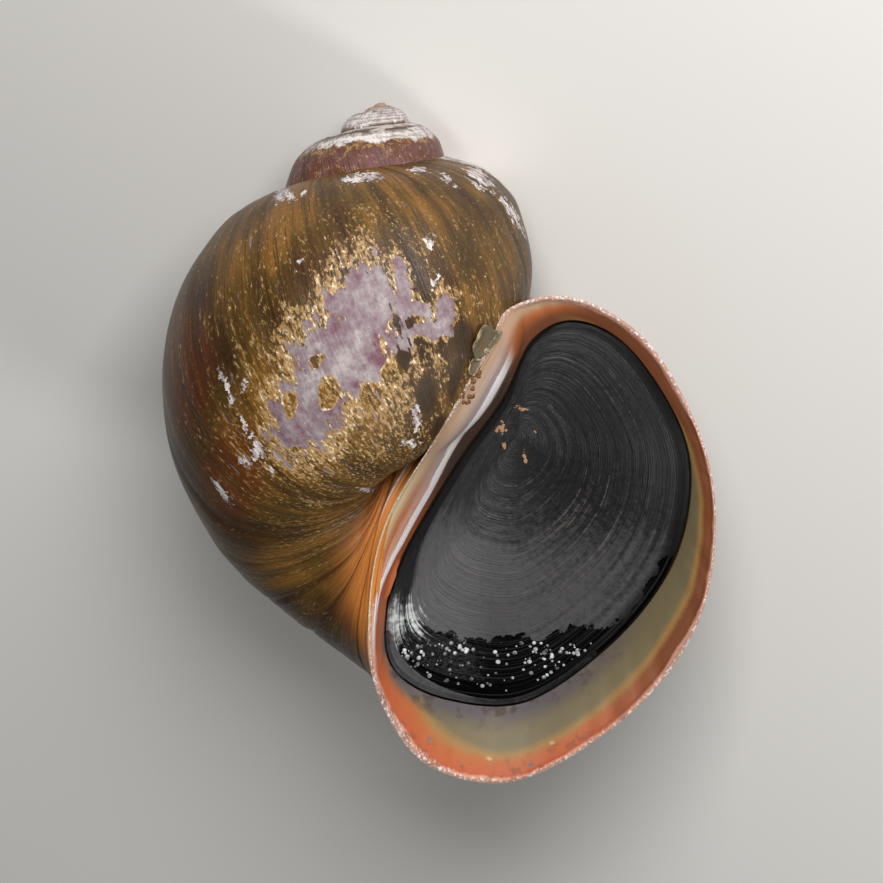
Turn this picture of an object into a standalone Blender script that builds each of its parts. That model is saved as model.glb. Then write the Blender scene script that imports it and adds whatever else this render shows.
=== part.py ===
"""Apple snail shell, life size, closed by its operculum and lying on its back with the mouth up.

A snail lengthens its shell by adding to the rim of the mouth, so every growth line is an
earlier rim. The outer surface here is made the same way: the mouth's outline is carried back
round the coiling axis and shrinks by a fixed ratio each whorl.

The shell's own frame has its origin at the apex, x outward past the mouth's outer lip, z up
the coiling axis, and y away from someone who faces the mouth. Lengths in it are millimetres.
"""
import math

import bmesh
import bpy
import numpy as np
from mathutils import Matrix, Vector

MM = 0.001
GAP = 0.3  # clearance between neighbouring pieces

# Growth
WHORL_RATIO = 2.304  # each whorl is this many times the size of the one before
APEX_TURN = -5.0  # whorls are counted back from the mouth's edge, which is turn 0
FLARE_TURNS = 0.04  # how quickly the tube widens to the lip

# The plane of the mouth leans back towards the base, and its inner edge curves forward
MOUTH_Y = -18.7
MOUTH_LEAN = 0.379
INNER_EDGE_X = 18.8
INNER_EDGE_FORWARD = 4.5

# The operculum stands a little behind the mouth's plane, and further back at its foot. Its
# inner edge is flatter than the mouth's, so it lies deep beside the inner lip
OPERCULUM_SET_BACK = 0.9
OPERCULUM_EDGE_FORWARD = 1.4
OPERCULUM_FOOT_BACK = 5.2
OPERCULUM_FOOT_FROM = -40.0  # z where it starts to sink, and where it is at its deepest
OPERCULUM_FOOT_TO = -76.0
OPERCULUM_FOOT_SIDE = (-2.0, 14.0)  # x over which the sinking fades in from the inner lip
OPERCULUM_THICK = 1.2
OPERCULUM_DISH = 1.6  # how far its middle is sunk
DISH_CENTRE = (20.5, -50.0)
DISH_REACH = (14.0, 21.0)
NUCLEUS = (17.0, -42.5)

# Outlines of the tube (x, z), each as large as it would be at the mouth. All start at the seam
# under the whorl before, then run over the shoulder, round the base and back up the inner side
SPIRE_OUTLINE = (
    (6.7, -18.3), (26.5, -21.1), (36.2, -27.7), (40.3, -35.0), (43.2, -49.1),
    (38.7, -65.5), (30.0, -77.1), (19.8, -82.2), (9.7, -81.3), (0.6, -75.1),
    (-1.8, -66.4), (-0.4, -53.2), (3.8, -40.3), (7.5, -25.0))
BODY_OUTLINE = (
    (12.1, -20.3), (19.9, -20.6), (29.5, -25.3), (38.2, -36.6), (41.4, -51.2),
    (38.1, -66.1), (29.2, -77.7), (20.1, -81.8), (10.0, -80.8), (0.6, -75.1),
    (-1.8, -66.4), (-0.8, -53.2), (3.8, -40.3), (7.5, -25.0))
THROAT_OUTLINE = (
    (15.8, -27.9), (21.3, -29.4), (30.2, -34.7), (37.2, -43.9), (39.5, -55.4),
    (36.6, -67.5), (28.9, -78.0), (18.1, -82.8), (8.0, -81.2), (0.6, -75.7),
    (-1.8, -67.6), (-1.0, -53.8), (7.1, -40.9), (12.6, -31.3))
LIP_OUTLINE = (
    (16.1, -26.8), (24.0, -25.6), (33.3, -31.2), (40.3, -43.7), (42.0, -55.8),
    (39.3, -68.0), (30.5, -79.0), (17.2, -86.8), (6.2, -84.8), (0.3, -77.1),
    (-1.7, -67.6), (0.3, -54.0), (7.8, -41.2), (13.1, -31.9))
OPERCULUM_OUTLINE = (
    (19.0, -30.9), (24.3, -28.6), (30.8, -32.0), (37.2, -41.6), (38.6, -50.2),
    (36.1, -59.9), (29.0, -69.2), (18.3, -76.6), (8.0, -76.1), (1.5, -71.9),
    (0.8, -64.7), (3.0, -57.5), (9.3, -46.7), (15.3, -38.2))
OUTLINE_POINTS = 14

# The lip
RIM_WIDTH = 0.9  # at the thin outer edge
INNER_RIM_WIDTH = 1.7  # at the thicker inner edge
INNER_RIM_START = 8.5  # place on the outline where the inner edge begins
WALL_BOW = 0.07  # how far the wall between rim and operculum bows out, for its length
CALLUS = 0.9  # thickness of the glaze that the inner lip lays over the earlier whorl
CALLUS_FADE = 0.7  # how soon the lip falls back beside that whorl, in places on the outline
LIP_CENTRE = (19.0, -55.0)
LIP_SPANS = {  # degrees round the mouth's centre, counted from the outer lip towards the apex
    "outer_lip": (-62.0, 104.0),
    "parietal_lip": (104.0, 158.0),
    "inner_lip": (158.0, 236.0),
    "basal_lip": (236.0, 298.0),
}

# How it lies: the direction that points down, where its weight is between the three places on
# the back of the last whorl and the one before that touch the floor
REST_DOWN = (0.334, 0.713, 0.616)
REST_FLAT_DEPTH = 0.25

# Fineness of the faceted tubes
SIDES = 40
LAST_STEPS = 14  # along the last length, up to the lip
OPERCULUM_SIDES = 48
OPERCULUM_RINGS = (1.0, 0.86, 0.66, 0.44, 0.22)  # shares of the way out from the nucleus
CUTTER_STEP = 3.5
FAR = 60.0  # beyond the shell on every side


def reset_scene():
    """Remove everything, so the script always starts from nothing."""
    for obj in list(bpy.data.objects):
        bpy.data.objects.remove(obj, do_unlink=True)


def make_material(name, colour, roughness):
    """Make a plain Principled material."""
    material = bpy.data.materials.new(name)
    material.use_nodes = True
    shader = material.node_tree.nodes["Principled BSDF"]
    shader.inputs["Base Color"].default_value = (*colour, 1.0)
    shader.inputs["Roughness"].default_value = roughness
    return material


# Shape of the tube


def ease(value):
    """Go smoothly from 0 to 1."""
    value = min(max(value, 0.0), 1.0)
    return value * value * (3.0 - 2.0 * value)


def on_outline(points, place):
    """Read a closed smooth curve through the points; place 2.5 is half way past point 2."""
    count = len(points)
    first = math.floor(place)
    f = place - first
    p0, p1, p2, p3 = (np.array(points[(first + k) % count]) for k in (-1, 0, 1, 2))
    return 0.5 * (2.0 * p1 + (p2 - p0) * f + (2.0 * p0 - 5.0 * p1 + 4.0 * p2 - p3) * f ** 2
                  + (3.0 * p1 - p0 - 3.0 * p2 + p3) * f ** 3)


def tube_outline(turn, place):
    """Give the tube's outline at a turn, before it is shrunk: spire, body whorl, throat, lip."""
    if turn < -0.5:
        share = ease((turn + 1.0) / 0.5)
        start, end = SPIRE_OUTLINE, BODY_OUTLINE
    else:
        share = ease((turn + 0.5) / 0.5)
        start, end = BODY_OUTLINE, THROAT_OUTLINE
    point = on_outline(start, place) * (1.0 - share) + on_outline(end, place) * share
    flare = math.exp(min(turn, 0.0) / FLARE_TURNS)
    return point + (on_outline(LIP_OUTLINE, place) - on_outline(THROAT_OUTLINE, place)) * flare


def grown_outline(turn, place, grow):
    """Move the outline outward by a real distance."""
    step = 0.02
    point = tube_outline(turn, place)
    along = tube_outline(turn, place + step) - tube_outline(turn, place - step)
    outward = np.array((-along[1], along[0])) / np.linalg.norm(along)
    return point + outward * grow / WHORL_RATIO ** turn


def mouth_depth(x, z, forward=INNER_EDGE_FORWARD):
    """Give y on the plane of the mouth, whose inner edge curves forward."""
    return MOUTH_Y - MOUTH_LEAN * z - forward * max((INNER_EDGE_X - x) / INNER_EDGE_X, 0.0) ** 2


def operculum_depth(x, z):
    """Give y on the operculum's face."""
    low = ease((z - OPERCULUM_FOOT_FROM) / (OPERCULUM_FOOT_TO - OPERCULUM_FOOT_FROM))
    first, last = OPERCULUM_FOOT_SIDE
    foot = OPERCULUM_FOOT_BACK * low * ease((x - first) / (last - first))
    across = (x - DISH_CENTRE[0]) / DISH_REACH[0]
    along = (z - DISH_CENTRE[1]) / DISH_REACH[1]
    dish = OPERCULUM_DISH * ease(1.0 - math.hypot(across, along))
    return mouth_depth(x, z, OPERCULUM_EDGE_FORWARD) + OPERCULUM_SET_BACK + foot + dish


def coil(turn, x, y, z):
    """Carry a point of the mouth back round the coiling axis and shrink it."""
    angle = 2.0 * math.pi * turn
    size = WHORL_RATIO ** turn
    return Vector((size * (x * math.cos(angle) + y * math.sin(angle)),
                   size * (y * math.cos(angle) - x * math.sin(angle)),
                   size * z))


def tube_ring(turn, sides, grow=0.0):
    """Give one growth line as a ring of points."""
    ring = []
    for k in range(sides):
        x, z = grown_outline(turn, OUTLINE_POINTS * k / sides, grow)
        ring.append(coil(turn, x, mouth_depth(x, z), z))
    return ring


# Building solids


def new_object(name, points, faces, material=None):
    """Make a closed, outward-facing mesh object of points in the shell's own frame."""
    mesh = bpy.data.meshes.new(name)
    mesh.from_pydata(points, [], faces)
    work = bmesh.new()
    work.from_mesh(mesh)
    bmesh.ops.remove_doubles(work, verts=work.verts, dist=1e-5)
    bmesh.ops.triangulate(work, faces=work.faces)
    bmesh.ops.recalc_face_normals(work, faces=work.faces)
    work.to_mesh(mesh)
    work.free()
    obj = bpy.data.objects.new(name, mesh)
    bpy.context.scene.collection.objects.link(obj)
    if material:
        mesh.materials.append(material)
    return obj


def loft(name, rings, material=None, centres=(None, None)):
    """Join rings of points into a closed solid, with a fan over each end."""
    sides = len(rings[0])
    points = [point for ring in rings for point in ring]
    faces = []
    for i in range(len(rings) - 1):
        for k in range(sides):
            a, b = i * sides + k, i * sides + (k + 1) % sides
            faces.append((a, b, b + sides, a + sides))
    for first, ring, centre in ((0, rings[0], centres[0]),
                                ((len(rings) - 1) * sides, rings[-1], centres[1])):
        middle = centre or sum(ring, Vector()) / sides
        points.append(middle)
        for k in range(sides):
            faces.append((first + (k + 1) % sides, first + k, len(points) - 1))
    return new_object(name, points, faces, material)


def swept_tube(name, start, end, sides, steps, material=None, grow=0.0, plug=False):
    """Sweep the tube between two turns; grow makes it larger all over, ends included.

    A plug is a narrow stub that reaches back into the length before, so that a union joins them.
    """
    turns = [start + (end - start) * i / steps for i in range(steps + 1)]
    rings = [tube_ring(turn, sides, grow) for turn in turns]
    if plug:
        stub = tube_ring(start - 0.5 * (end - start) / steps, sides)
        middle = sum(stub, Vector()) / sides
        rings.insert(0, [middle.lerp(point, 0.6) for point in stub])
    if grow:
        for ring, turn, sign in ((rings[0], start, -1.0), (rings[-1], end, 1.0)):
            facing = Vector(coil(turn, 0.0, 1.0, MOUTH_LEAN)).normalized() * -sign * grow
            for point in ring:
                point += facing
    return loft(name, rings, material)


def combine(obj, other, operation, solver="EXACT"):
    """Apply one Boolean and keep the largest closed surface."""
    modifier = obj.modifiers.new(operation.lower(), "BOOLEAN")
    modifier.operation = operation
    modifier.solver = solver
    modifier.object = other
    with bpy.context.temp_override(object=obj, active_object=obj, selected_objects=[obj]):
        bpy.ops.object.modifier_apply(modifier=modifier.name)
    keep_largest(obj)


def keep_largest(obj):
    """Drop every loose scrap but the piece with the most faces."""
    work = bmesh.new()
    work.from_mesh(obj.data)
    unseen = set(work.faces)
    pieces = []
    while unseen:
        piece = set()
        edge_of = [unseen.pop()]
        while edge_of:
            face = edge_of.pop()
            piece.add(face)
            for edge in face.edges:
                for near in edge.link_faces:
                    if near in unseen:
                        unseen.discard(near)
                        edge_of.append(near)
        pieces.append(piece)
    largest = max(pieces, key=len)
    scraps = [face for face in work.faces if face not in largest]
    bmesh.ops.delete(work, geom=scraps, context="FACES")
    loose = [vert for vert in work.verts if not vert.link_faces]
    bmesh.ops.delete(work, geom=loose, context="VERTS")
    work.to_mesh(obj.data)
    work.free()


def discard(obj):
    """Remove a helper shape."""
    bpy.data.objects.remove(obj, do_unlink=True)


def cut_with(obj, helper, operation="DIFFERENCE"):
    """Cut an object with a helper shape, then remove the helper."""
    combine(obj, helper, operation)
    discard(helper)


def copy_shape(obj, name):
    """Copy an object with a mesh of its own."""
    twin = obj.copy()
    twin.data = obj.data.copy()
    twin.name = name
    bpy.context.scene.collection.objects.link(twin)
    return twin


def space_behind(depth):
    """Make a block that fills everything behind the operculum's face moved back by depth."""
    xs = np.arange(-FAR, FAR * 1.5, CUTTER_STEP)
    zs = np.arange(-FAR * 2.0, FAR, CUTTER_STEP)
    points = [Vector((x, operculum_depth(x, z) + depth, z)) for x in xs for z in zs]
    points += [Vector((x, FAR * 2.0, z)) for x in xs for z in zs]
    wide, deep = len(xs), len(zs)
    faces = []
    for level in (0, wide * deep):
        for i in range(wide - 1):
            for j in range(deep - 1):
                a = level + i * deep + j
                faces.append((a, a + deep, a + deep + 1, a + 1))
    border = [(i, 0) for i in range(wide)]
    border += [(wide - 1, j) for j in range(1, deep)]
    border += [(i, deep - 1) for i in range(wide - 2, -1, -1)]
    border += [(0, j) for j in range(deep - 2, 0, -1)]
    for (i, j), (m, n) in zip(border, border[1:] + border[:1]):
        a, b = i * deep + j, m * deep + n
        faces.append((a, b, b + wide * deep, a + wide * deep))
    return new_object("space_behind", points, faces)


def seat_ring(grow, depth, sides=SIDES):
    """Give the operculum's outline, grown, at a depth behind its face."""
    ring = []
    step = 0.02
    for k in range(sides):
        place = OUTLINE_POINTS * k / sides
        before, after = (on_outline(OPERCULUM_OUTLINE, place + move) for move in (-step, step))
        along = after - before
        outward = np.array((-along[1], along[0])) / np.linalg.norm(along)
        x, z = on_outline(OPERCULUM_OUTLINE, place) + outward * grow
        ring.append(Vector((x, operculum_depth(x, z) + depth, z)))
    return ring


def rise_over(whorl, points):
    """Bring a ring of the lip forward where it crosses an earlier whorl, fading beside it."""
    rises = []
    for point in points:
        in_front = Vector((point.x, -FAR, point.z))
        hit, place, _, _ = whorl.ray_cast(in_front, Vector((0.0, 1.0, 0.0)))
        rises.append(max(point.y - place.y + GAP + CALLUS, 0.0) if hit else 0.0)
    fade = math.exp(-OUTLINE_POINTS / len(points) / CALLUS_FADE)
    for _ in points:
        rises = [max(rise, fade * max(rises[k - 1], rises[(k + 1) % len(rises)]))
                 for k, rise in enumerate(rises)]
    for point, rise in zip(points, rises):
        point.y -= rise


def lip_ring(whorl, inset, sides):
    """Give the lip's edge, or with an inset a ring inside it, laid over an earlier whorl."""
    ring = []
    for k in range(sides):
        place = OUTLINE_POINTS * k / sides
        inner = ease(place - INNER_RIM_START) * ease(OUTLINE_POINTS - place)
        width = RIM_WIDTH + (INNER_RIM_WIDTH - RIM_WIDTH) * inner
        x, z = grown_outline(0.0, place, -width * inset)
        ring.append(Vector((x, mouth_depth(x, z), z)))
    rise_over(whorl, ring)
    return ring


def last_tube(name, start, whorl, material):
    """Sweep the last length up to the lip, with a raised rim where the plain tube would end."""
    rings = [tube_ring(start * (1.0 - i / LAST_STEPS), SIDES) for i in range(LAST_STEPS)]
    rings.append(lip_ring(whorl, 0.0, SIDES))
    rings.append(lip_ring(whorl, 1.0, SIDES))
    middle = Vector((LIP_CENTRE[0], mouth_depth(*LIP_CENTRE) - 1.0, LIP_CENTRE[1]))
    return loft(name, rings, material, (None, middle))


def mouth_hollow(whorl):
    """Make the hollow in front of the operculum, with the operculum's own seat."""
    rim = lip_ring(whorl, 1.15, SIDES)
    seat = seat_ring(GAP, 0.0)
    rings = [[point - Vector((0.0, FAR / 3.0, 0.0)) for point in rim], rim]
    for share in (0.25, 0.5, 0.75):
        ring = []
        for start, end in zip(rim, seat):
            bow = WALL_BOW * (start - end).length * math.sin(math.pi * share)
            ring.append(keep_clear(start.lerp(end, share) - Vector((0.0, bow, 0.0)), whorl))
        rings.append(ring)
    rings.append(seat)
    rings.append(seat_ring(GAP, OPERCULUM_THICK + 4.0))
    return loft("mouth_hollow", rings)


def keep_clear(point, whorl):
    """Move a point away from an earlier whorl until the lip's glaze fits between."""
    _, place, normal, _ = whorl.closest_point_on_mesh(point)
    short = GAP + CALLUS - (point - place).dot(normal)
    return point + normal * max(short, 0.0)


# The named pieces


def make_whorls(materials):
    """Make the coiled tube length by length, each cut clear of the ones before it."""
    lengths = (
        ("apex", APEX_TURN, -3.0, 20, 16, "apex"),
        ("spire_whorl", -3.0, -2.0, 28, 24, "spire"),
        ("penultimate_whorl", -2.0, -1.0, 36, 30, "spire"),
        ("body_whorl_left", -1.0, -0.62, SIDES, 36, "shell"),
        ("body_whorl_back", -0.62, -0.27, SIDES, 36, "shell"),
        ("body_whorl_right", -0.27, 0.0, SIDES, 50, "shell"),
    )
    whorls = {}
    grown = []
    for name, start, end, sides, steps_per_turn, material in lengths:
        if end < 0.0:
            whorl = coiled_length(name, start, end, sides, steps_per_turn, materials[material])
        else:
            whorl = last_tube(name, start, whorls["body_whorl_left"], materials[material])
        for older in grown[-8:]:
            combine(whorl, older, "DIFFERENCE", "MANIFOLD")  # the exact solver loses the spire
        whorls[name] = whorl
        if end == 0.0:
            break
        for first, last in half_turns(start, end):
            steps = max(round((last - first) * steps_per_turn), 2)
            grown.append(swept_tube("grown", first, last, sides, steps, grow=GAP))
    for helper in grown:
        discard(helper)
    return whorls


def half_turns(start, end):
    """Divide a stretch of the coil into lengths that don't overlap themselves."""
    count = math.ceil((end - start) / 0.5 - 1e-6)
    bounds = [start + (end - start) * k / count for k in range(count + 1)]
    return list(zip(bounds[:-1], bounds[1:]))


def coiled_length(name, start, end, sides, steps_per_turn, material):
    """Join half turns of the tube into one closed solid."""
    whole = None
    for first, last in half_turns(start, end):
        steps = max(round((last - first) * steps_per_turn), 2)
        tube = swept_tube(name, first, last, sides, steps, material, plug=whole is not None)
        if whole is None:
            whole = tube
        else:
            combine(whole, tube, "UNION", "MANIFOLD")  # the exact solver loses a half turn
            discard(tube)
    return whole


def sector(name, start, end):
    """Make a wedge round the mouth's centre between two directions in degrees, front to back."""
    half_gap = GAP / 2.0
    corners = []
    steps = 6
    for k in range(steps + 1):
        angle = math.radians(start + (end - start) * k / steps)
        corners.append(np.array((math.cos(angle), math.sin(angle))) * FAR * 1.5)
    first = np.array((-math.sin(math.radians(start)), math.cos(math.radians(start)))) * half_gap
    last = np.array((math.sin(math.radians(end)), -math.cos(math.radians(end)))) * half_gap
    corners[0] = corners[0] + first
    corners[-1] = corners[-1] + last
    outline = [first + last] + corners
    rings = []
    for y in (-FAR, FAR):
        rings.append([Vector((LIP_CENTRE[0] + c[0], y, LIP_CENTRE[1] + c[1])) for c in outline])
    return loft(name, rings, centres=tuple(
        Vector((LIP_CENTRE[0] + math.cos(math.radians((start + end) / 2.0)) * 20.0, y,
                LIP_CENTRE[1] + math.sin(math.radians((start + end) / 2.0)) * 20.0))
        for y in (-FAR, FAR)))


def make_lips(whorls, materials):
    """Part the rim of the mouth from the last length and divide it by name."""
    last = whorls["body_whorl_right"]
    rim = copy_shape(last, "rim")
    cut_with(rim, space_behind(OPERCULUM_THICK + GAP))
    cut_with(rim, mouth_hollow(whorls["body_whorl_left"]))
    cut_with(last, space_behind(OPERCULUM_THICK + GAP * 2.0), "INTERSECT")
    for name, (start, end) in LIP_SPANS.items():
        piece = copy_shape(rim, name)
        piece.data.materials.clear()
        piece.data.materials.append(materials["lip"])
        cut_with(piece, sector("sector", start, end), "INTERSECT")
    discard(rim)


def make_operculum(material):
    """Make the horny door: a thin dished plate, ringed round its nucleus."""
    front, back = [], []
    for share in OPERCULUM_RINGS:
        for rings, depth in ((front, 0.0), (back, OPERCULUM_THICK)):
            ring = []
            for point in seat_ring(0.0, 0.0, OPERCULUM_SIDES):
                x = NUCLEUS[0] + (point.x - NUCLEUS[0]) * share
                z = NUCLEUS[1] + (point.z - NUCLEUS[1]) * share
                ring.append(Vector((x, operculum_depth(x, z) + depth, z)))
            rings.append(ring)
    centres = [Vector((NUCLEUS[0], operculum_depth(*NUCLEUS) + depth, NUCLEUS[1]))
               for depth in (0.0, OPERCULUM_THICK)]
    loft("operculum", front[::-1] + back, material, centres)


def resting_turn():
    """Give the rotation that points REST_DOWN at the floor and the mouth to the front."""
    up = -Vector(REST_DOWN).normalized()
    mouth_faces = Vector((0.0, -1.0, 0.0))
    back = -(mouth_faces - up * mouth_faces.dot(up)).normalized()
    right = back.cross(up)
    return Matrix((right, back, up)).to_4x4()


def bounds(pieces):
    """Give the lowest and highest corners of some objects."""
    points = np.array([vert.co for obj in pieces for vert in obj.data.vertices])
    return points.min(axis=0), points.max(axis=0)


def lay_down():
    """Lay the shell as it rests, flatten what touches the floor and centre it over the origin."""
    pieces = [obj for obj in bpy.data.objects if obj.type == "MESH"]
    for obj in pieces:
        obj.data.transform(resting_turn())
    floor = bounds(pieces)[0][2] + REST_FLAT_DEPTH
    for obj in pieces:
        if bounds([obj])[0][2] < floor:
            bpy.ops.mesh.primitive_cube_add(size=FAR * 4.0, location=(0.0, 0.0, floor - FAR * 2.0))
            cut_with(obj, bpy.context.object)
    low, high = bounds(pieces)
    middle = Vector(((low[0] + high[0]) / 2.0, (low[1] + high[1]) / 2.0, floor))
    for obj in pieces:
        obj.data.transform(Matrix.Scale(MM, 4) @ Matrix.Translation(-middle))
        obj.data.shade_smooth()
        obj.data.set_sharp_from_angle(angle=math.radians(40.0))


def main():
    """Build the whole shell."""
    reset_scene()
    materials = {
        "apex": make_material("apex", (0.75, 0.70, 0.66), 0.6),
        "spire": make_material("spire", (0.33, 0.22, 0.12), 0.45),
        "shell": make_material("shell", (0.26, 0.20, 0.07), 0.35),
        "lip": make_material("lip", (0.80, 0.40, 0.22), 0.4),
        "operculum": make_material("operculum", (0.03, 0.03, 0.035), 0.45),
    }
    whorls = make_whorls(materials)
    make_lips(whorls, materials)
    make_operculum(materials["operculum"])
    lay_down()


main()
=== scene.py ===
"""Looks of the apple snail shell and its operculum, built over the packed model.

A snail lengthens its shell by adding to the rim of the mouth, so every growth line is an
earlier rim. The skin here is wrapped from one sheet whose rows are those rims: from the tip of
the spire, out round the whorls to the lip, in over the lip, and down to the operculum's seat.

The shell's own frame has its origin at the apex, x outward past the mouth's outer lip, z up
the coiling axis, and y away from someone who faces the mouth. Lengths in it are millimetres.
"""
import math
from functools import partial
from types import SimpleNamespace

import bpy
import numpy as np
from mathutils import Matrix, Vector
from mathutils.bvhtree import BVHTree


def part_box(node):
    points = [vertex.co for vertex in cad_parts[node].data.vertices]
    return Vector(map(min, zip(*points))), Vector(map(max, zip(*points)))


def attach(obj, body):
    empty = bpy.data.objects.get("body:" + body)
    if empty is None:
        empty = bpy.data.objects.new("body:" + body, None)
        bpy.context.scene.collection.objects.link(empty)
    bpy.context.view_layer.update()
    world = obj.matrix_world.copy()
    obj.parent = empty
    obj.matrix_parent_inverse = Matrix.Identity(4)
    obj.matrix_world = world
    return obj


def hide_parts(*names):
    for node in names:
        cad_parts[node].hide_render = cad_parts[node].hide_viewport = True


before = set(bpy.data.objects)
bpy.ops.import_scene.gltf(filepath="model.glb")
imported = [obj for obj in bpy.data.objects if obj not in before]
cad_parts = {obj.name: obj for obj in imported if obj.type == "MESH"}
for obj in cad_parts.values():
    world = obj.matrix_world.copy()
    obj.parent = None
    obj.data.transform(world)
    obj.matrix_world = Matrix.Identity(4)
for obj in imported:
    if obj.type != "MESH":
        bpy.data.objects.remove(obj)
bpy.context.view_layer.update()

bl_info = {
    "name": "Apple snail shell",
    "version": (1, 0, 0),
    "blender": (4, 5, 0),
    "location": "3D View > Sidebar > Snail shell",
    "description": "Gives the packed snail shell and its operculum their finish",
    "category": "Object",
}

MM = 0.001
GAP = 0.3  # clearance round the operculum

# Growth
WHORL_RATIO = 2.304  # each whorl is this many times the size of the one before
APEX_TURN = -5.0  # whorls are counted back from the mouth's edge, which is turn 0
FLARE_TURNS = 0.04  # how quickly the tube widens to the lip
WHORL_REACH = 36.0  # from the coiling axis to the middle of the outer wall at the mouth

# The plane of the mouth leans back towards the base, and its inner edge curves forward
MOUTH_Y = -18.7
MOUTH_LEAN = 0.379
INNER_EDGE_X = 18.8
INNER_EDGE_FORWARD = 4.5

# The operculum stands a little behind the mouth's plane, and further back at its foot. Its
# inner edge is flatter than the mouth's, so it lies deep beside the inner lip
OPERCULUM_SET_BACK = 0.9
OPERCULUM_EDGE_FORWARD = 1.4
OPERCULUM_FOOT_BACK = 5.2
OPERCULUM_FOOT_DOWN = (-40.0, -76.0)
OPERCULUM_FOOT_SIDE = (-2.0, 14.0)
OPERCULUM_THICK = 1.2
OPERCULUM_DISH = 1.6
DISH_CENTRE = (20.5, -50.0)
DISH_REACH = (14.0, 21.0)
NUCLEUS = (17.0, -42.5)

# Outlines of the tube (x, z), each as large as it would be at the mouth. All start at the seam
# under the whorl before, then run over the shoulder, round the base and back up the inner side
SPIRE_OUTLINE = (
    (6.7, -18.3), (26.5, -21.1), (36.2, -27.7), (40.3, -35.0), (43.2, -49.1),
    (38.7, -65.5), (30.0, -77.1), (19.8, -82.2), (9.7, -81.3), (0.6, -75.1),
    (-1.8, -66.4), (-0.4, -53.2), (3.8, -40.3), (7.5, -25.0))
BODY_OUTLINE = (
    (12.1, -20.3), (19.9, -20.6), (29.5, -25.3), (38.2, -36.6), (41.4, -51.2),
    (38.1, -66.1), (29.2, -77.7), (20.1, -81.8), (10.0, -80.8), (0.6, -75.1),
    (-1.8, -66.4), (-0.8, -53.2), (3.8, -40.3), (7.5, -25.0))
THROAT_OUTLINE = (
    (15.8, -27.9), (21.3, -29.4), (30.2, -34.7), (37.2, -43.9), (39.5, -55.4),
    (36.6, -67.5), (28.9, -78.0), (18.1, -82.8), (8.0, -81.2), (0.6, -75.7),
    (-1.8, -67.6), (-1.0, -53.8), (7.1, -40.9), (12.6, -31.3))
LIP_OUTLINE = (
    (16.1, -26.8), (24.0, -25.6), (33.3, -31.2), (40.3, -43.7), (42.0, -55.8),
    (39.3, -68.0), (30.5, -79.0), (17.2, -86.8), (6.2, -84.8), (0.3, -77.1),
    (-1.7, -67.6), (0.3, -54.0), (7.8, -41.2), (13.1, -31.9))
OPERCULUM_OUTLINE = (
    (19.0, -30.9), (24.3, -28.6), (30.8, -32.0), (37.2, -41.6), (38.6, -50.2),
    (36.1, -59.9), (29.0, -69.2), (18.3, -76.6), (8.0, -76.1), (1.5, -71.9),
    (0.8, -64.7), (3.0, -57.5), (9.3, -46.7), (15.3, -38.2))
OUTLINE_POINTS = 14
OUTLINE_TURNS = (-1.0, -0.5, 0.0)  # where the outlines of spire, body and throat hold

# The direction that points down where the shell rests on its back
REST_DOWN = (0.334, 0.713, 0.616)

# The lip, from its edge (share 0) in to the operculum's seat (share 1)
LIP_SHARES = (0.0, 0.02, 0.045, 0.075, 0.11, 0.15, 0.2, 0.26, 0.32, 0.38, 0.44, 0.5, 0.56,
              0.62, 0.68, 0.74, 0.8, 0.85, 0.9, 0.94, 0.97, 1.0)
GLAZE_END = 0.97  # beyond this share the lip is too close to the seat to be moved
SEAT_SHARES = (1.0, 1.0, 0.8, 0.6, 0.35, 0.0)  # of the rows behind the operculum
SEAT_LEVELS = (1.03, 1.06, 1.1, 1.15, 1.2, 1.25)
BEAD_HEIGHT = 0.32  # swelling of the lip just inside its edge
BEAD_INWARDS = 0.5
BEAD_WIDTH = 0.38
BEAD_START = 0.12
CHIPS = 0.16  # depth of the chips in the edge, which end at the inner lip
CHIPS_END = (9.0, 9.6)
CREST_SPAN = (9.0, 10.2, 12.9, 13.9)  # places over which the crest rises, runs and fades
CREST_LINE = (  # places on the outline, and the crest's share of the way in at each
    (9.0, 9.5, 10.0, 10.35, 10.7, 11.1, 11.6, 12.1, 13.0, 14.0),
    (0.15, 0.28, 0.33, 0.48, 0.7, 0.84, 0.8, 0.62, 0.58, 0.5))
LIP_RISE_TURNS = 0.03  # length over which the lip climbs the whorl before
EARLIER_TURNS = (-1.2, -0.4)  # the part of that whorl which the lip crosses
CALLUS_FADE = 0.7  # how soon it falls back beside that whorl, in places on the outline
SLIT_TURN = -0.014  # the slit that the inner lip leaves open over the umbilicus
SLIT_WIDTH = 0.009
SLIT_DEPTH = 1.6
SLIT_SPAN = (9.9, 10.4, 11.5, 11.9)
WALL_BOW = 0.07  # how far the wall bows out, for its length
REST_TURNS = (-0.045, -0.118, -0.236, -0.31, -0.47, -0.655, -0.79, -0.842, -0.93, -1.21, -1.6)
REST_WIDTH = 0.0045
NARROW_FOLD = 0.017  # turns from fold to fold
BROAD_FOLD = 0.046
KNOTS = 997  # random heights of a line before it repeats
SMOOTH_EDGE_TURNS = 0.012  # folds fade out this near the lip's edge

# Turns over which the skin changes, and spans of places over which a look comes and goes
SPIRE_TURNS = (-1.0, -1.12)
OLD_TURNS = (-2.0, -2.3)
TIP_TURNS = (-3.2, -3.7)
FUNNEL_SPAN = (8.3, 9.9, 11.5, 12.5)
FILM_TURN = -0.05  # white film on the whorl beside the inner lip
FILM_WIDTH = 0.016
FILM_SPAN = (10.3, 10.8, 11.5, 12.0)
WIDE_RIM_SPAN = (7.3, 8.5, 9.4, 10.0)
INNER_LIP_SPAN = (9.3, 10.1, 13.0, 13.6)
BASE_LIP_SPAN = (5.2, 6.6, 9.4, 10.6)
# Places where the operculum's dark edge band is widened into painted shadow under the inner lip
PLATE_SHADE_SPAN = (9.0, 10.0, 13.0, 13.8)
PLATE_BRIM_SPAN = (5.8, 6.8, 9.6, 10.4)

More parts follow.
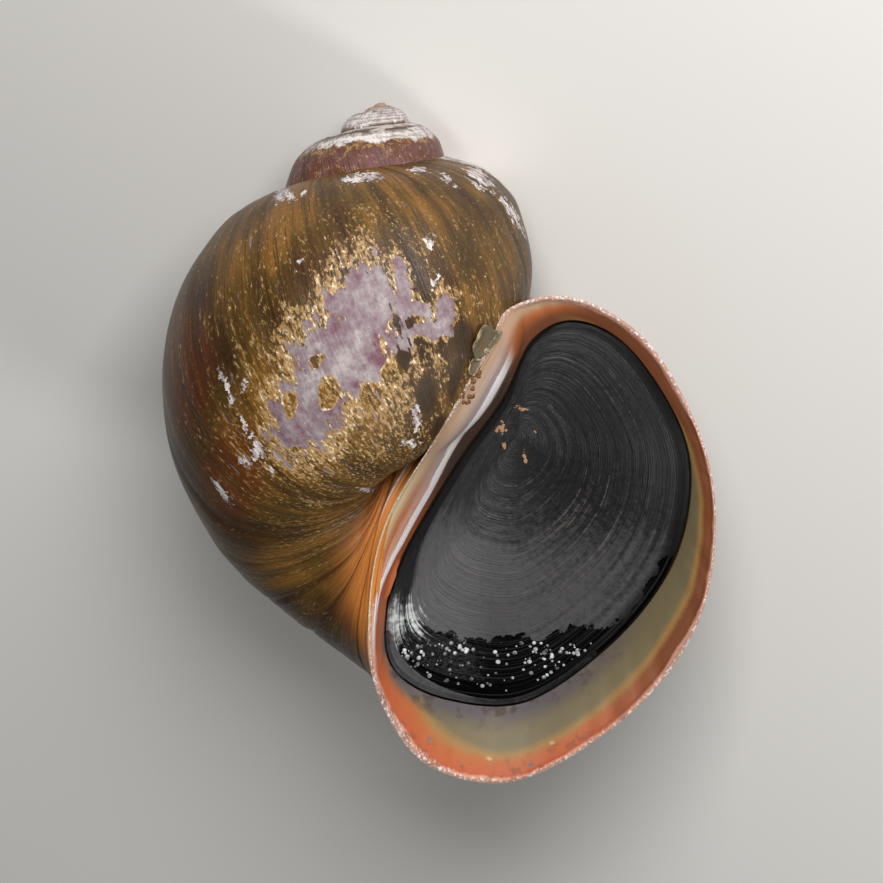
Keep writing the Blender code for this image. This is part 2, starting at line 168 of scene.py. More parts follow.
# Oval places on the skin as seen facing the mouth: x, z, half width, half height, tilt in degrees
WORN_FRONT = ((-1.8, -27.5, 4.0, 6.5, -12.0), (-3.6, -32.6, 6.4, 5.4, 0.0),
              (-8.8, -39.6, 4.3, 5.6, 18.0), (8.1, -27.7, 1.3, 3.0, 0.0),
              (6.2, -29.8, 3.4, 1.0, 0.0), (4.6, -27.2, 3.0, 1.1, 0.0),
              (3.1, -24.8, 1.0, 3.8, -12.0))
WORN_BACK = ((2.0, -40.0, 7.0, 5.0, 20.0), (-14.0, -32.0, 4.0, 6.0, -20.0))
RED_FRONT = (-18.0, -47.0, 6.0, 9.0, 20.0)
RED_BASE = (-24.0, -34.0, 5.0, 12.0, 0.0)
GLEAM_FRONT = (-3.0, -37.0, 19.0, 19.0, 0.0)
PLUM_SPOT = (0.2, -31.8, 2.4, 4.2, -10.0)
WHOLE_FRONT = (  # skin still whole and dark beside the lip
    (10.3, -31.0, 1.8, 2.6, 0.0), (3.1, -29.0, 1.4, 1.3, 0.0), (2.9, -32.6, 1.0, 2.6, 0.0),
    (5.8, -37.6, 1.3, 2.8, 0.0), (9.3, -35.4, 0.7, 3.6, 12.0), (7.4, -41.6, 1.0, 1.8, 20.0))
ISLES_FRONT = (  # skin left whole inside the worn place
    (-10.6, -38.8, 0.9, 2.0, 0.0), (-6.2, -37.5, 1.2, 2.3, 0.0), (-1.0, -37.9, 1.4, 1.8, 0.0),
    (1.3, -35.0, 1.1, 1.3, 0.0), (-7.5, -33.6, 0.8, 0.9, 0.0), (-12.5, -34.3, 0.8, 1.1, 0.0))
SCARS_FRONT = (  # small white places where the skin has flaked off
    (-12.2, -12.9, 1.2, 1.9, 15.0), (-10.8, -13.3, 0.8, 1.0, 0.0), (-9.2, -12.7, 0.5, 0.7, 0.0),
    (-3.1, -11.1, 2.2, 1.0, -8.0), (-0.8, -10.9, 1.8, 0.9, 15.0), (4.8, -10.0, 1.8, 0.7, 0.0),
    (8.4, -11.2, 0.5, 2.0, -48.0), (12.4, -10.8, 1.6, 3.4, -45.0), (16.2, -15.0, 0.7, 4.4, -34.0),
    (6.2, -19.2, 0.6, 1.4, -10.0), (7.0, -23.9, 0.7, 1.2, 0.0), (-9.4, -21.2, 0.5, 0.5, 0.0),
    (4.4, -40.3, 0.7, 2.6, 0.0), (3.9, -43.4, 1.6, 0.7, 0.0), (-1.6, -49.2, 1.4, 0.5, 12.0),
    (-18.7, -36.6, 0.5, 4.2, -25.0), (-15.2, -43.2, 0.45, 6.0, -30.0),
    (-15.0, -44.6, 1.1, 1.2, 0.0), (-16.6, -45.7, 1.1, 1.0, 0.0), (-16.3, -36.9, 0.6, 1.2, 0.0),
    (-19.5, -49.5, 0.6, 3.0, -38.0), (-13.4, -46.6, 0.7, 0.7, 0.0))
SPECKS = (  # pale places by the operculum's nucleus
    (15.0, -41.6, 1.1, 1.2, -20.0), (15.4, -43.9, 0.5, 0.8, 0.0), (19.3, -42.0, 0.5, 0.8, -15.0),
    (18.0, -45.2, 0.45, 1.2, -10.0), (17.6, -39.2, 1.8, 0.45, 8.0))
PAINTED_GLINT_SPOT = (2.6, -66.0, 4.4, 5.4, -35.0)  # where a pale glint is painted on the operculum's foot
LIP_SHADE_SPOTS = (  # painted shade, in blotches on the wall below the operculum
    (14.5, -77.9, 5.5, 1.0, 0.0), (6.0, -77.7, 1.0, 4.6, -54.0), (26.0, -75.0, 3.0, 0.6, 40.0))
LIP_STAINS = ((18.8, -84.6, 0.6, 0.5, 20.0), (6.1, -81.4, 0.5, 0.4, 0.0))  # slate specks
LIP_NICKS = ((13.6, -83.8, 1.0, 0.7, 10.0), (21.5, -82.0, 0.7, 0.4, 0.0))  # cream chips
FLAKES = (  # x, z, half width, half height, tilt of the flakes beside the inner lip
    (12.7, -31.2, 1.2, 2.1, 28.0), (11.2, -33.9, 0.5, 1.0, 30.0))
FLAKE_CELLS = 14
CRUMB_LINE = ((12.0, -34.4), (9.6, -38.6))  # x, z where the crumbs begin and end
DROPS_LEFT = (5.6, -69.6, 4.4, 2.2, -20.0)  # where most drops stand
DROPS_RIGHT = (21.6, -70.8, 3.4, 2.4, 30.0)
DROPS_ALONG = (5.6, 9.8)  # places on the operculum's outline between which drops stand
DROPS_OUT = (0.74, 0.95)  # and shares of the way out from the nucleus
WET_LINE = -68.2  # z of the shore of the wet band at the operculum's foot
SHORE_RISES = (  # how far the shore climbs, and the x from and to which it does
    (1.6, 20.0, 26.0), (2.6, 9.0, 2.0), (9.0, 30.0, 37.0))
PLATE_BEVEL = 0.25  # how far the plate's face falls back at its edge
PLATE_BACK = ((1.0, 0.6), (0.99, 1.1), (0.9, 1.2), (0.6, 1.2), (0.3, 1.2), (0.0, 1.2))
SEAT_DEPTH = 2.2  # how far behind the operculum's face the shell closes
BACK_Y = 4.0  # the back begins here, and the front's worn places end at minus this
NOT_WORN = -1.5

# Camera that took the photograph, in the shell's frame
CAMERA_PLACE = (7.57, -601.0, -43.3)
CAMERA_LENS = 195.7
SENSOR = 36.0
FAR = 60.0

# Lights: the direction they come from in the shell's frame, distance and size in metres
KEY_LIGHT = ((0.05, -0.96, 0.26), 0.5, 0.2)
FILL_LIGHT = ((0.63, -0.47, -0.62), 0.6, 0.09)
LIT_PLACE = (15.0, -10.0, -45.0)  # where they point


# Colour and nodes


MATH = "ShaderNodeMath"
MIX = "ShaderNodeMix"
NOISE = "ShaderNodeTexNoise"
RANGE = "ShaderNodeMapRange"  # input 0 goes from 1 to 2, and the output from 3 to 4
RAMP = "ShaderNodeValToRGB"
MAP = "ShaderNodeAttribute"
USUAL = {RANGE: {"interpolation_type": "SMOOTHSTEP"}}  # settings of every node of a kind


def linear(code):
    """Turn an sRGB hex colour into the linear colour that Blender works in."""
    channels = [int(code[k:k + 2], 16) / 255.0 for k in (1, 3, 5)]
    return tuple(c / 12.92 if c <= 0.04045 else ((c + 0.055) / 1.055) ** 2.4 for c in channels)


def put(tree, kind, inputs=None, out=0, stops=None, **settings):
    """Add a node with its settings and inputs, and give the output that is asked for."""
    node = tree.nodes.new(kind)
    for name, value in (USUAL.get(kind, {}) | settings).items():
        setattr(node, name, value)
    for name, value in (inputs or {}).items():
        socket = node.inputs[name]
        if isinstance(value, bpy.types.NodeSocket):
            tree.links.new(value, socket)
        elif socket.type == "RGBA":
            socket.default_value = (*value[:3], 1.0)
        else:
            socket.default_value = value
    if stops:
        ramp = node.color_ramp
        while len(ramp.elements) < len(stops):
            ramp.elements.new(1.0)
        for element, (position, colour) in zip(ramp.elements, stops):
            element.position = position
            element.color = (*colour[:3], 1.0)
    return node.outputs[out]


# Shape of the tube


def ease(value):
    """Go smoothly from 0 to 1."""
    value = np.clip(value, 0.0, 1.0)
    return value * value * (3.0 - 2.0 * value)


def rise(value, start, end):
    """Go smoothly from 0 to 1 while a value goes from start to end."""
    return ease((value - start) / (end - start))


def window(value, first, full, last, end):
    """Give 1 from full to last, and fade to 0 at first and at end."""
    return rise(value, first, full) * rise(value, end, last)


def bell(value, middle, width):
    """Give 1 at the middle, and fall off to both sides."""
    return np.exp(-((value - middle) / width) ** 2)


def on_outline(points, place):
    """Read a closed smooth curve through the points; place 2.5 is half way past point 2."""
    points = np.array(points)
    first = np.floor(place).astype(int)
    f = (place - first)[..., None]
    p0, p1, p2, p3 = (points[(first + k) % len(points)] for k in (-1, 0, 1, 2))
    return 0.5 * (2.0 * p1 + (p2 - p0) * f + (2.0 * p0 - 5.0 * p1 + 4.0 * p2 - p3) * f ** 2
                  + (3.0 * p1 - p0 - 3.0 * p2 + p3) * f ** 3)


def tube_outline(turn, place):
    """Give the tube's outline at a turn, before it is shrunk: spire, body whorl, throat, lip."""
    body = rise(turn, *OUTLINE_TURNS[:2])[..., None]
    throat = rise(turn, *OUTLINE_TURNS[1:])[..., None]
    flare = np.exp(np.minimum(turn, 0.0) / FLARE_TURNS)[..., None]
    end = on_outline(THROAT_OUTLINE, place)
    point = on_outline(SPIRE_OUTLINE, place) * (1.0 - body)
    point = point + on_outline(BODY_OUTLINE, place) * (body - throat) + end * throat
    return point + (on_outline(LIP_OUTLINE, place) - end) * flare


def outward(outline, place, step=0.02):
    """Give the direction out of an outline, in its own plane."""
    along = outline(place + step) - outline(place - step)
    turned = np.stack((-along[..., 1], along[..., 0]), axis=-1)
    return turned / np.linalg.norm(turned, axis=-1, keepdims=True)


def mouth_depth(x, z, forward=INNER_EDGE_FORWARD):
    """Give y on the plane of the mouth, whose inner edge curves forward."""
    inner = np.maximum((INNER_EDGE_X - x) / INNER_EDGE_X, 0.0)
    return MOUTH_Y - MOUTH_LEAN * z - forward * inner ** 2


def operculum_depth(x, z):
    """Give y on the operculum's face."""
    foot = rise(z, *OPERCULUM_FOOT_DOWN) * rise(x, *OPERCULUM_FOOT_SIDE)
    across = (x - DISH_CENTRE[0]) / DISH_REACH[0]
    along = (z - DISH_CENTRE[1]) / DISH_REACH[1]
    dish = OPERCULUM_DISH * ease(1.0 - np.hypot(across, along))
    back = OPERCULUM_SET_BACK + OPERCULUM_FOOT_BACK * foot + dish
    return mouth_depth(x, z, OPERCULUM_EDGE_FORWARD) + back


def coil(turn, x, y, z):
    """Carry points of the mouth back round the coiling axis and shrink them."""
    angle = 2.0 * math.pi * turn
    size = WHORL_RATIO ** turn
    return np.stack((size * (x * np.cos(angle) + y * np.sin(angle)),
                     size * (y * np.cos(angle) - x * np.sin(angle)),
                     size * z), axis=-1)


def wander(value, spacing, seed):
    """Give a smooth random line between -1 and 1 that changes every spacing."""
    knots = np.random.default_rng(seed).uniform(-1.0, 1.0, KNOTS)
    steps = np.asarray(value) / spacing
    first = np.floor(steps).astype(int)
    share = ease(steps - first)
    return knots[first % KNOTS] * (1.0 - share) + knots[(first + 1) % KNOTS] * share


def growth_relief(turn, place, folds, rests):
    """Give the height of the growth folds, and of the grooves where growth rested."""
    bent = turn + 0.002 * wander(place, 1.1, 3)
    height = folds * (0.6 * wander(bent, NARROW_FOLD, 1) + 0.4 * wander(turn, BROAD_FOLD, 2))
    for rest in REST_TURNS:
        height = height - rests * bell(turn, rest, REST_WIDTH)
    fade = 1.0 - bell(turn, 0.0, SMOOTH_EDGE_TURNS)
    slit = bell(turn, SLIT_TURN, SLIT_WIDTH) * window(place, *SLIT_SPAN)
    return height * fade * (0.35 + 0.65 * WHORL_RATIO ** turn) - SLIT_DEPTH * slit


def tube_points(turns, places, folds=0.0, rests=0.0):
    """Give the outer surface as rows of points, one for each growth line."""
    turn, place = np.meshgrid(turns, places, indexing="ij")
    flat = tube_outline(turn, place)
    if folds:
        relief = growth_relief(turn, place, folds, rests) / WHORL_RATIO ** turn
        facing = outward(lambda p: tube_outline(turn, p), place)
        flat = flat + facing * relief[..., None]
    x, z = flat[..., 0], flat[..., 1]
    return coil(turn, x, mouth_depth(x, z), z)


def growth_turns(step):
    """List the turns of the growth lines, closer together where the whorls are small."""
    turns = [APEX_TURN]
    while turns[-1] < 0.0:
        size = WHORL_RATIO ** turns[-1]
        turns.append(turns[-1] + step * (0.3 + 0.7 * size) / (2.0 * math.pi * WHORL_REACH * size))
    turns[-1] = 0.0
    return np.array(turns)


# From the shell's frame to the packed model's


def resting_turn():
    """Give the rotation that points REST_DOWN at the floor and the mouth to the front."""
    up = -Vector(REST_DOWN).normalized()
    mouth_faces = Vector((0.0, -1.0, 0.0))
    back = -(mouth_faces - up * mouth_faces.dot(up)).normalized()
    right = back.cross(up)
    return Matrix((right, back, up))


def find_shift():
    """Find where the turned shell stands, in millimetres, from the packed operculum's box."""
    low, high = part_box("operculum")
    own = plate_points(64, 12).reshape(-1, 3) @ TURN.T
    return (np.array(low + high) / MM - own.min(axis=0) - own.max(axis=0)) / 2.0


def seat_edge(places):
    """Give the outline of the operculum's seat, which leaves a gap round the operculum."""
    facing = outward(partial(on_outline, OPERCULUM_OUTLINE), places)
    return on_outline(OPERCULUM_OUTLINE, places) + facing * GAP


def plate_ring(edge, share, depth):
    """Give a ring that is a share of the way from the nucleus to an edge, at a depth."""
    x, z = (NUCLEUS[k] + (edge[:, k] - NUCLEUS[k]) * share for k in (0, 1))
    return np.stack((x, operculum_depth(x, z) + depth, z), axis=-1)


def plate_points(sides, rings):
    """Give the plain plate, front and back, as rings of points."""
    edge = on_outline(OPERCULUM_OUTLINE, np.linspace(0.0, OUTLINE_POINTS, sides + 1))
    shares = np.linspace(0.0, 1.0, rings)
    front = [plate_ring(edge, share, 0.0) for share in shares]
    back = [plate_ring(edge, share, OPERCULUM_THICK) for share in shares[::-1]]
    return np.array(front + back)


TURN = np.array(resting_turn())
SHIFT = find_shift()


def to_frame(points):
    """Carry points from the shell's frame, in millimetres, to the packed model's, in metres."""
    return (np.asarray(points) @ TURN.T + SHIFT) * MM


# Wrapping a sheet


def deselect_all():
    """Leave nothing selected, so that an operator acts only on what is added next."""
    if bpy.context.object and bpy.context.object.mode != "OBJECT":
        bpy.ops.object.mode_set(mode="OBJECT")
    bpy.ops.object.select_all(action="DESELECT")


def mesh_points(mesh):
    """Read a mesh's points as rows of x, y and z."""
    flat = np.empty(len(mesh.vertices) * 3, np.float32)
    mesh.vertices.foreach_get("co", flat)
    return flat.reshape(-1, 3)


def lay_growth_map(mesh, around, level):
    """Name the mesh's UV map and set it, for each corner of a face."""
    growth = mesh.uv_layers.active
    growth.name = "growth"
    growth.data.foreach_set("uv", np.stack((around, level), axis=-1).astype(np.float32).ravel())


def wrap_sheet(name, points, levels, maps, first_inner=None):
    """Add a grid and move its rows and columns to the points, then close its seam and poles.

    levels are the rows' second coordinate in the growth map, and maps the named values that the
    materials read at each point. Rows from first_inner on get the object's second material.
    """
    rows, columns = points.shape[0] - 1, points.shape[1] - 1
    deselect_all()
    bpy.ops.mesh.primitive_grid_add(x_subdivisions=columns, y_subdivisions=rows, size=1.0)
    obj = bpy.context.object
    obj.name = name
    mesh = obj.data
    mesh.name = name
    flat = mesh_points(mesh)
    column, row = (np.rint((flat[:, k] + 0.5) * count).astype(int)
                   for k, count in ((0, columns), (1, rows)))
    mesh.vertices.foreach_set("co", to_frame(points[row, column]).astype(np.float32).ravel())
    for title, values in maps.items():
        attribute = mesh.attributes.new(title, "FLOAT", "POINT")
        attribute.data.foreach_set("value", values[row, column].astype(np.float32))
    corners = np.empty(len(mesh.loops), np.int32)
    mesh.loops.foreach_get("vertex_index", corners)
    around = np.linspace(0.0, 1.0, columns + 1)[column[corners]]
    lay_growth_map(mesh, around, np.asarray(levels)[row[corners]])
    if first_inner is not None:
        inner = row[corners].reshape(-1, 4).min(axis=1) >= first_inner
        mesh.polygons.foreach_set("material_index", inner.astype(np.int32))
    mesh.update()
    close_seams(50.0)
    return obj


def close_seams(angle):
    """Merge points that meet, turn faces outwards and smooth the edges below an angle."""
    bpy.ops.object.mode_set(mode="EDIT")
    bpy.ops.mesh.select_all(action="SELECT")
    bpy.ops.mesh.remove_doubles(threshold=MM * 0.001)
    bpy.ops.mesh.normals_make_consistent(inside=False)
    bpy.ops.object.mode_set(mode="OBJECT")
    bpy.ops.object.shade_smooth_by_angle(angle=math.radians(angle))


def finish_piece(obj, materials, slot, *nodes):
    """Give a piece its materials, its body and the CAD nodes it stands for."""
    for material in materials:
        obj.data.materials.append(material)
    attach(obj, "root")
    if nodes:
        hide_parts(*nodes)


# The lip


def earlier_whorl():
    """Make a search tree of the whorl that the lip crosses, with its faces outwards."""
    turns = np.linspace(*EARLIER_TURNS, 161)
    points = tube_points(turns, np.linspace(0.0, OUTLINE_POINTS, 141))
    rows, columns = points.shape[:2]
    corners = [(i * columns + k, i * columns + k + 1) for i in range(rows - 1)
               for k in range(columns - 1)]
    faces = [(a, a + columns, b + columns, b) for a, b in corners]
    return BVHTree.FromPolygons([Vector(p) for p in points.reshape(-1, 3)], faces)


def lip_rises(whorl, ring, sides):
    """Find how far the lip is brought forward to cross the earlier whorl, fading beside it."""
    rises = []
    for point in ring:
        place, _, _, _ = whorl.ray_cast(Vector((point[0], -FAR, point[2])), Vector((0.0, 1.0, 0.0)))
        rises.append(max(point[1] - place.y, 0.0) if place else 0.0)
    rises = np.array(rises)
    fade = math.exp(-OUTLINE_POINTS / sides / CALLUS_FADE)
    for _ in range(sides):
        rises[-1] = rises[0] = max(rises[0], rises[-1])
        rises[1:-1] = np.maximum(rises[1:-1], fade * np.maximum(rises[:-2], rises[2:]))
    return rises


def keep_clear(point, whorl, thickness):
    """Move a point off the earlier whorl until a glaze of that thickness fits under it."""
    place, normal, _, _ = whorl.find_nearest(Vector(point))
    short = thickness - (Vector(point) - place).dot(normal)
    return point + np.array(normal) * max(short, 0.0)


def lip_lift(share, distance, places, crest):
    """Give how far the lip stands forward of a straight wall between its edge and the seat."""
    bead = BEAD_HEIGHT * bell(distance, BEAD_INWARDS, BEAD_WIDTH)
    bead = bead * (1.0 - bell(distance, 0.0, BEAD_START))
    line = np.interp(places, *CREST_LINE)
    profile = np.where(share < line, ease(share / line), 1.0 - ease((share - line) / (1.0 - line)))
    return bead + crest * window(places, *CREST_SPAN) * profile


def lip_rows(whorl, places, crest, glaze):
    """Give the rows of points from the lip's edge in to the operculum's seat."""
    edge = tube_points(np.array([0.0]), places)[0]
    chips = CHIPS * wander(places, 0.09, 11) * (1.0 - rise(places, *CHIPS_END))
    edge[:, 1] += chips - lip_rises(whorl, edge, len(places) - 1)
    x, z = seat_edge(places).T
    seat = np.stack((x, operculum_depth(x, z), z), axis=-1)
    length = np.linalg.norm(seat - edge, axis=1)
    rows = []
    for share in LIP_SHARES:
        row = edge + (seat - edge) * share
        bow = WALL_BOW * length * math.sin(math.pi * share)
        row[:, 1] -= bow + lip_lift(share, share * length, places, crest)
        thickness = glaze * (0.12 + 0.88 * float(rise(share, 0.0, 0.35)))
        if 0.0 < share < GLAZE_END:
            row = np.array([keep_clear(point, whorl, thickness) for point in row])
        rows.append(row)
    rows[-1] = seat
    return rows


def seat_rows(places):
    """Give the rows down beside the operculum and in behind it to one closing point."""
    depths = (1.0, *(SEAT_DEPTH,) * 5)
    return [plate_ring(seat_edge(places), *ring) for ring in zip(SEAT_SHARES, depths)]


# The skin of the shell


def shell_rows(settings):
    """Give every row of the shell's skin, with its level in the growth map."""
    places = np.linspace(0.0, OUTLINE_POINTS, settings.sides + 1)
    turns = growth_turns(settings.ring_step / MM)
    tube = tube_points(turns, places, settings.fold_height / MM, settings.rest_depth / MM)
    tube[:, :, 2] -= settings.tip_wear / MM * rise(turns, *TIP_TURNS)[:, None]
    whorl = earlier_whorl()
    lip = lip_rows(whorl, places, settings.crest_height / MM, settings.glaze / MM)
    climb = rise(turns, -LIP_RISE_TURNS, 0.0)[:, None]
    tube[:, :, 1] -= climb * (tube[-1, :, 1] - lip[0][:, 1])
    tip = np.repeat(tube[0].mean(axis=0)[None, None, :], len(places), axis=1)
    inner = np.array(lip[1:] + seat_rows(places))
    levels = [turns[0], *turns, *LIP_SHARES[1:], *SEAT_LEVELS]
    turn, place = np.meshgrid(levels[:len(turns) + 1], places, indexing="ij")
    outside = seen_maps(*np.moveaxis(np.concatenate((tip, tube)), -1, 0))
    outside |= grown_maps(turn, place)
    inside = lip_maps(np.concatenate((tube[-1:], inner)), places)
    maps = {name: np.pad(values, ((0, len(inner)), (0, 0))) for name, values in outside.items()}
    maps |= {name: np.pad(values, ((len(turns), 0), (0, 0))) for name, values in inside.items()}
    return np.concatenate((tip, tube, inner)), levels, maps, len(turns)


def rest_on_floor(obj):
    """Flatten what would reach below the floor."""
    points = mesh_points(obj.data)
    points[:, 2] = np.maximum(points[:, 2], 0.0)
    obj.data.vertices.foreach_set("co", points.ravel())
    obj.data.update()


SHELL_NODES = ("apex", "spire_whorl", "penultimate_whorl", "body_whorl_left", "body_whorl_back",
               "body_whorl_right", "outer_lip", "basal_lip", "inner_lip", "parietal_lip")


def shell_coordinates(tree):
    """Turn the object's coordinates into the shell's own frame, in millimetres."""
    back = Matrix(TURN.T.tolist())
    place = put(tree, "ShaderNodeTexCoord", out="Object")
    offset = -(TURN.T @ SHIFT)
    return put(tree, "ShaderNodeMapping", {"Vector": place, "Scale": (1.0 / MM,) * 3,
                                           "Rotation": tuple(back.to_euler()),
                                           "Location": tuple(offset)})


def near_spot(x, z, spot):
    """Give 1 at the middle of an oval spot, 0 on its edge and less outside."""
    middle_x, middle_z, half_width, half_height, tilt = spot
    turned = math.radians(tilt)
    across = (x - middle_x) * math.cos(turned) - (z - middle_z) * math.sin(turned)
    along = (x - middle_x) * math.sin(turned) + (z - middle_z) * math.cos(turned)
    return 1.0 - np.hypot(across / half_width, along / half_height)


def nearest_spot(x, z, spots, side):
    """Give 1 at the middle of the nearest oval spot, and 0 on its edge and outside."""
    near = np.max([near_spot(x, z, spot) for spot in spots], axis=0)
    return np.where(side, np.clip(near, 0.0, 1.0), 0.0)


def worn_places(x, y, z):
    """Give how near each point is to a place that is rubbed bare: above 0 inside it."""
    field = np.full(x.shape, NOT_WORN)
    for side, spots in ((-1.0, WORN_FRONT), (1.0, WORN_BACK)):
        for spot in spots:
            near = np.where(y * side > BACK_Y, near_spot(x, z, spot), NOT_WORN)
            field = np.maximum(field, near)
    return field


def seen_maps(x, y, z):
    """Give the values of the skin that depend on where a point is seen, front or back."""
    front = y < BACK_Y
    spots = {"isle": ISLES_FRONT, "scar": SCARS_FRONT, "whole": WHOLE_FRONT,
             "core": (PLUM_SPOT,), "ember": (RED_FRONT, RED_BASE)}
    maps = {name: nearest_spot(x, z, places, front) for name, places in spots.items()}
    gleam = np.clip(near_spot(x, z, GLEAM_FRONT) + 0.35, 0.0, 1.0)
    return maps | {"worn": worn_places(x, y, z), "gleam": np.where(front, gleam, 0.3)}


def grown_maps(turn, place):
    """Give the values of the skin that follow the whorls and their growth lines."""
    spire, old = rise(turn, *SPIRE_TURNS), rise(turn, *OLD_TURNS)
    suture = np.maximum(bell(place, 1.0, 0.3), rise(place, 2.9, 3.4) * old)
    seam = np.where(turn < -1.0, (3.4 - place) / 2.2, 0.5 - place / 2.5)
    film = bell(turn, FILM_TURN, FILM_WIDTH) * window(place, *FILM_SPAN)
    deep = 0.45 + 0.55 * rise(turn, -0.62, -0.42)
    return {
        "spire": spire,
        "tip": rise(turn, *TIP_TURNS),
        "hem": rise(place, 2.2, 2.8) * spire,
        "suture": suture * rise(turn, -1.0, -1.1),
        "shoulder": rise(place, 2.4, 1.0) * rise(turn, -1.0, -0.9),
        "funnel": window(place, *FUNNEL_SPAN) * deep,
        "eroded": np.maximum(0.9 * old, np.clip(np.maximum(seam, 0.8 * film), 0.0, 1.0)),
        "rest": sum(bell(turn, rest, 0.005) for rest in REST_TURNS),
    }


def lip_maps(points, places):
    """Give the values that the lip's material reads, for rows from its edge inwards."""
    edge = np.linalg.norm(points - points[0], axis=-1)
    x, z = points[..., 0], points[..., 2]
    place = np.broadcast_to(places, edge.shape)
    wide = 1.0 + 0.7 * window(place, *WIDE_RIM_SPAN)
    line = np.interp(place, *CREST_LINE)
    shares = np.array((*LIP_SHARES, *(1.0,) * (len(points) - len(LIP_SHARES))))[:, None]
    return {
        "edge": edge / wide,
        "inner": window(place, *INNER_LIP_SPAN),
        "crest": (shares - line) / np.where(shares < line, line, 1.0 - line),
        "parietal": rise(place, 11.1, 12.0),
        "corner": np.maximum(rise(place, 12.9, 13.5), rise(place, 1.5, 0.4)),
        "base": window(place, *BASE_LIP_SPAN),
        "smear": nearest_spot(x, z, LIP_SHADE_SPOTS, True),
        "stain": nearest_spot(x, z, LIP_STAINS, True),
        "nick": nearest_spot(x, z, LIP_NICKS, True),
    }


# Finishes


# Maps of each piece that its material reads
SKIN_MAPS = ("worn", "isle", "scar", "whole", "core", "ember", "gleam", "spire", "tip", "hem",
             "suture", "shoulder", "funnel", "eroded", "rest")
LIP_MAPS = ("edge", "inner", "crest", "parietal", "corner", "base", "smear", "stain", "nick")
PLATE_MAPS = ("wet", "foot", "margin", "speck", "painted_glint")

FRONT_ROUND = 105.0  # length of the tube's outline on the whorl that faces the camera
FRONT_TURN = 122.0  # length of a whole turn there


def new_material(name):
    """Start a material, and give it with its node tree and its shader."""
    material = bpy.data.materials.new(name)
    material.use_nodes = True
    return material, material.node_tree, material.node_tree.nodes["Principled BSDF"]


def read_maps(tree, names):
    """Read the piece's own maps, to be asked for by name."""
    return SimpleNamespace(**{name: put(tree, MAP, out="Fac", attribute_name=name)
                              for name in names})


def streaks(tree, along, across, detail=2.0, roughness=0.5, seed=0.0):
    """Give noise that runs with the growth lines, in blotches along by across millimetres."""
    growth = put(tree, "ShaderNodeUVMap", uv_map="growth")
    scale = (FRONT_ROUND / along, FRONT_TURN / across, 0.0)
    place = put(tree, "ShaderNodeVectorMath", {0: growth, 1: scale, 2: (seed, seed, seed)},
                operation="MULTIPLY_ADD")
    return put(tree, NOISE, {"Vector": place, "Scale": 1.0, "Detail": detail,
                             "Roughness": roughness})


def blotches(tree, size, detail=3.0, roughness=0.5, seed=0.0):
    """Give noise in even blotches of a size in millimetres."""
    place = put(tree, "ShaderNodeVectorMath", {0: shell_coordinates(tree), 1: (seed, seed, seed)},
                operation="ADD")
    return put(tree, NOISE, {"Vector": place, "Scale": 1.0 / size, "Detail": detail,
                             "Roughness": roughness})


def paint(tree, colour, layers):
    """Lay colours over one another, each through its mask."""
    for mask, over in layers:
        colour = put(tree, MIX, {0: mask, 6: colour, 7: over}, out=2, data_type="RGBA")
    return colour


def total(tree, *parts):
    """Add up sockets, each times a number."""
    value = 0.0
    for socket, times in parts:
        value = put(tree, MATH, {0: socket, 1: times, 2: value}, operation="MULTIPLY_ADD")
    return value


def product(tree, first, *others):
    """Multiply sockets and numbers."""
    for other in others:
        first = put(tree, MATH, {0: first, 1: other}, operation="MULTIPLY", use_clamp=True)
    return first


def greatest(tree, first, *others):
    """Take the greatest of some masks."""
    for other in others:
        first = put(tree, MATH, {0: first, 1: other}, operation="MAXIMUM")
    return first


def finish_shader(tree, shader, colour, height, roughness):
    """Link a shader's colour, its relief in millimetres and its roughness."""
    bump = put(tree, "ShaderNodeBump", {"Strength": 1.0, "Distance": MM, "Height": height})
    tree.links.new(colour, shader.inputs["Base Color"])
    tree.links.new(bump, shader.inputs["Normal"])
    tree.links.new(roughness, shader.inputs["Roughness"])


def skin_grain(tree):
    """Give the noises that the skin's colours and relief share.

    The finest lines and crumbs are a little coarser than the real ones, so that they show.
    """
    return SimpleNamespace(
        fine=streaks(tree, 16.0, 0.34, 2.0, 0.6),
        streak=streaks(tree, 11.0, 1.5, 3.0, 0.55, 7.0),
        cloud=blotches(tree, 9.0, 2.0),
        crumb=streaks(tree, 0.75, 0.4, 5.0, 0.72, 41.0),
        torn=streaks(tree, 5.0, 1.5, 3.0, 0.6, 51.0),
        patch=blotches(tree, 2.4, 4.0, 0.6, 5.0),
        chip=blotches(tree, 0.8, 3.0, 0.65, 3.0),
        mottle=streaks(tree, 2.6, 0.8, 4.0, 0.65, 61.0))


def fleck_mask(tree, field, grain, fringe):
    """Give where torn flecks of skin stand up: thickest round the worn place and by the seams."""
    likely = total(tree, (field.gleam, 0.1), (fringe, 0.11), (grain.torn, 0.3),
                   (grain.streak, 0.16), (grain.cloud, 0.1), (field.whole, -1.2),
                   (field.suture, 0.2), (field.funnel, -0.12), (field.spire, 0.1),
                   (field.hem, -0.13))
    on_spire = product(tree, grain.chip, field.spire)
    torn = total(tree, (grain.crumb, 1.0), (likely, 1.0), (on_spire, 1.0), (field.spire, -0.47))
    return put(tree, RANGE, {0: torn, 1: 0.88, 2: 0.95})


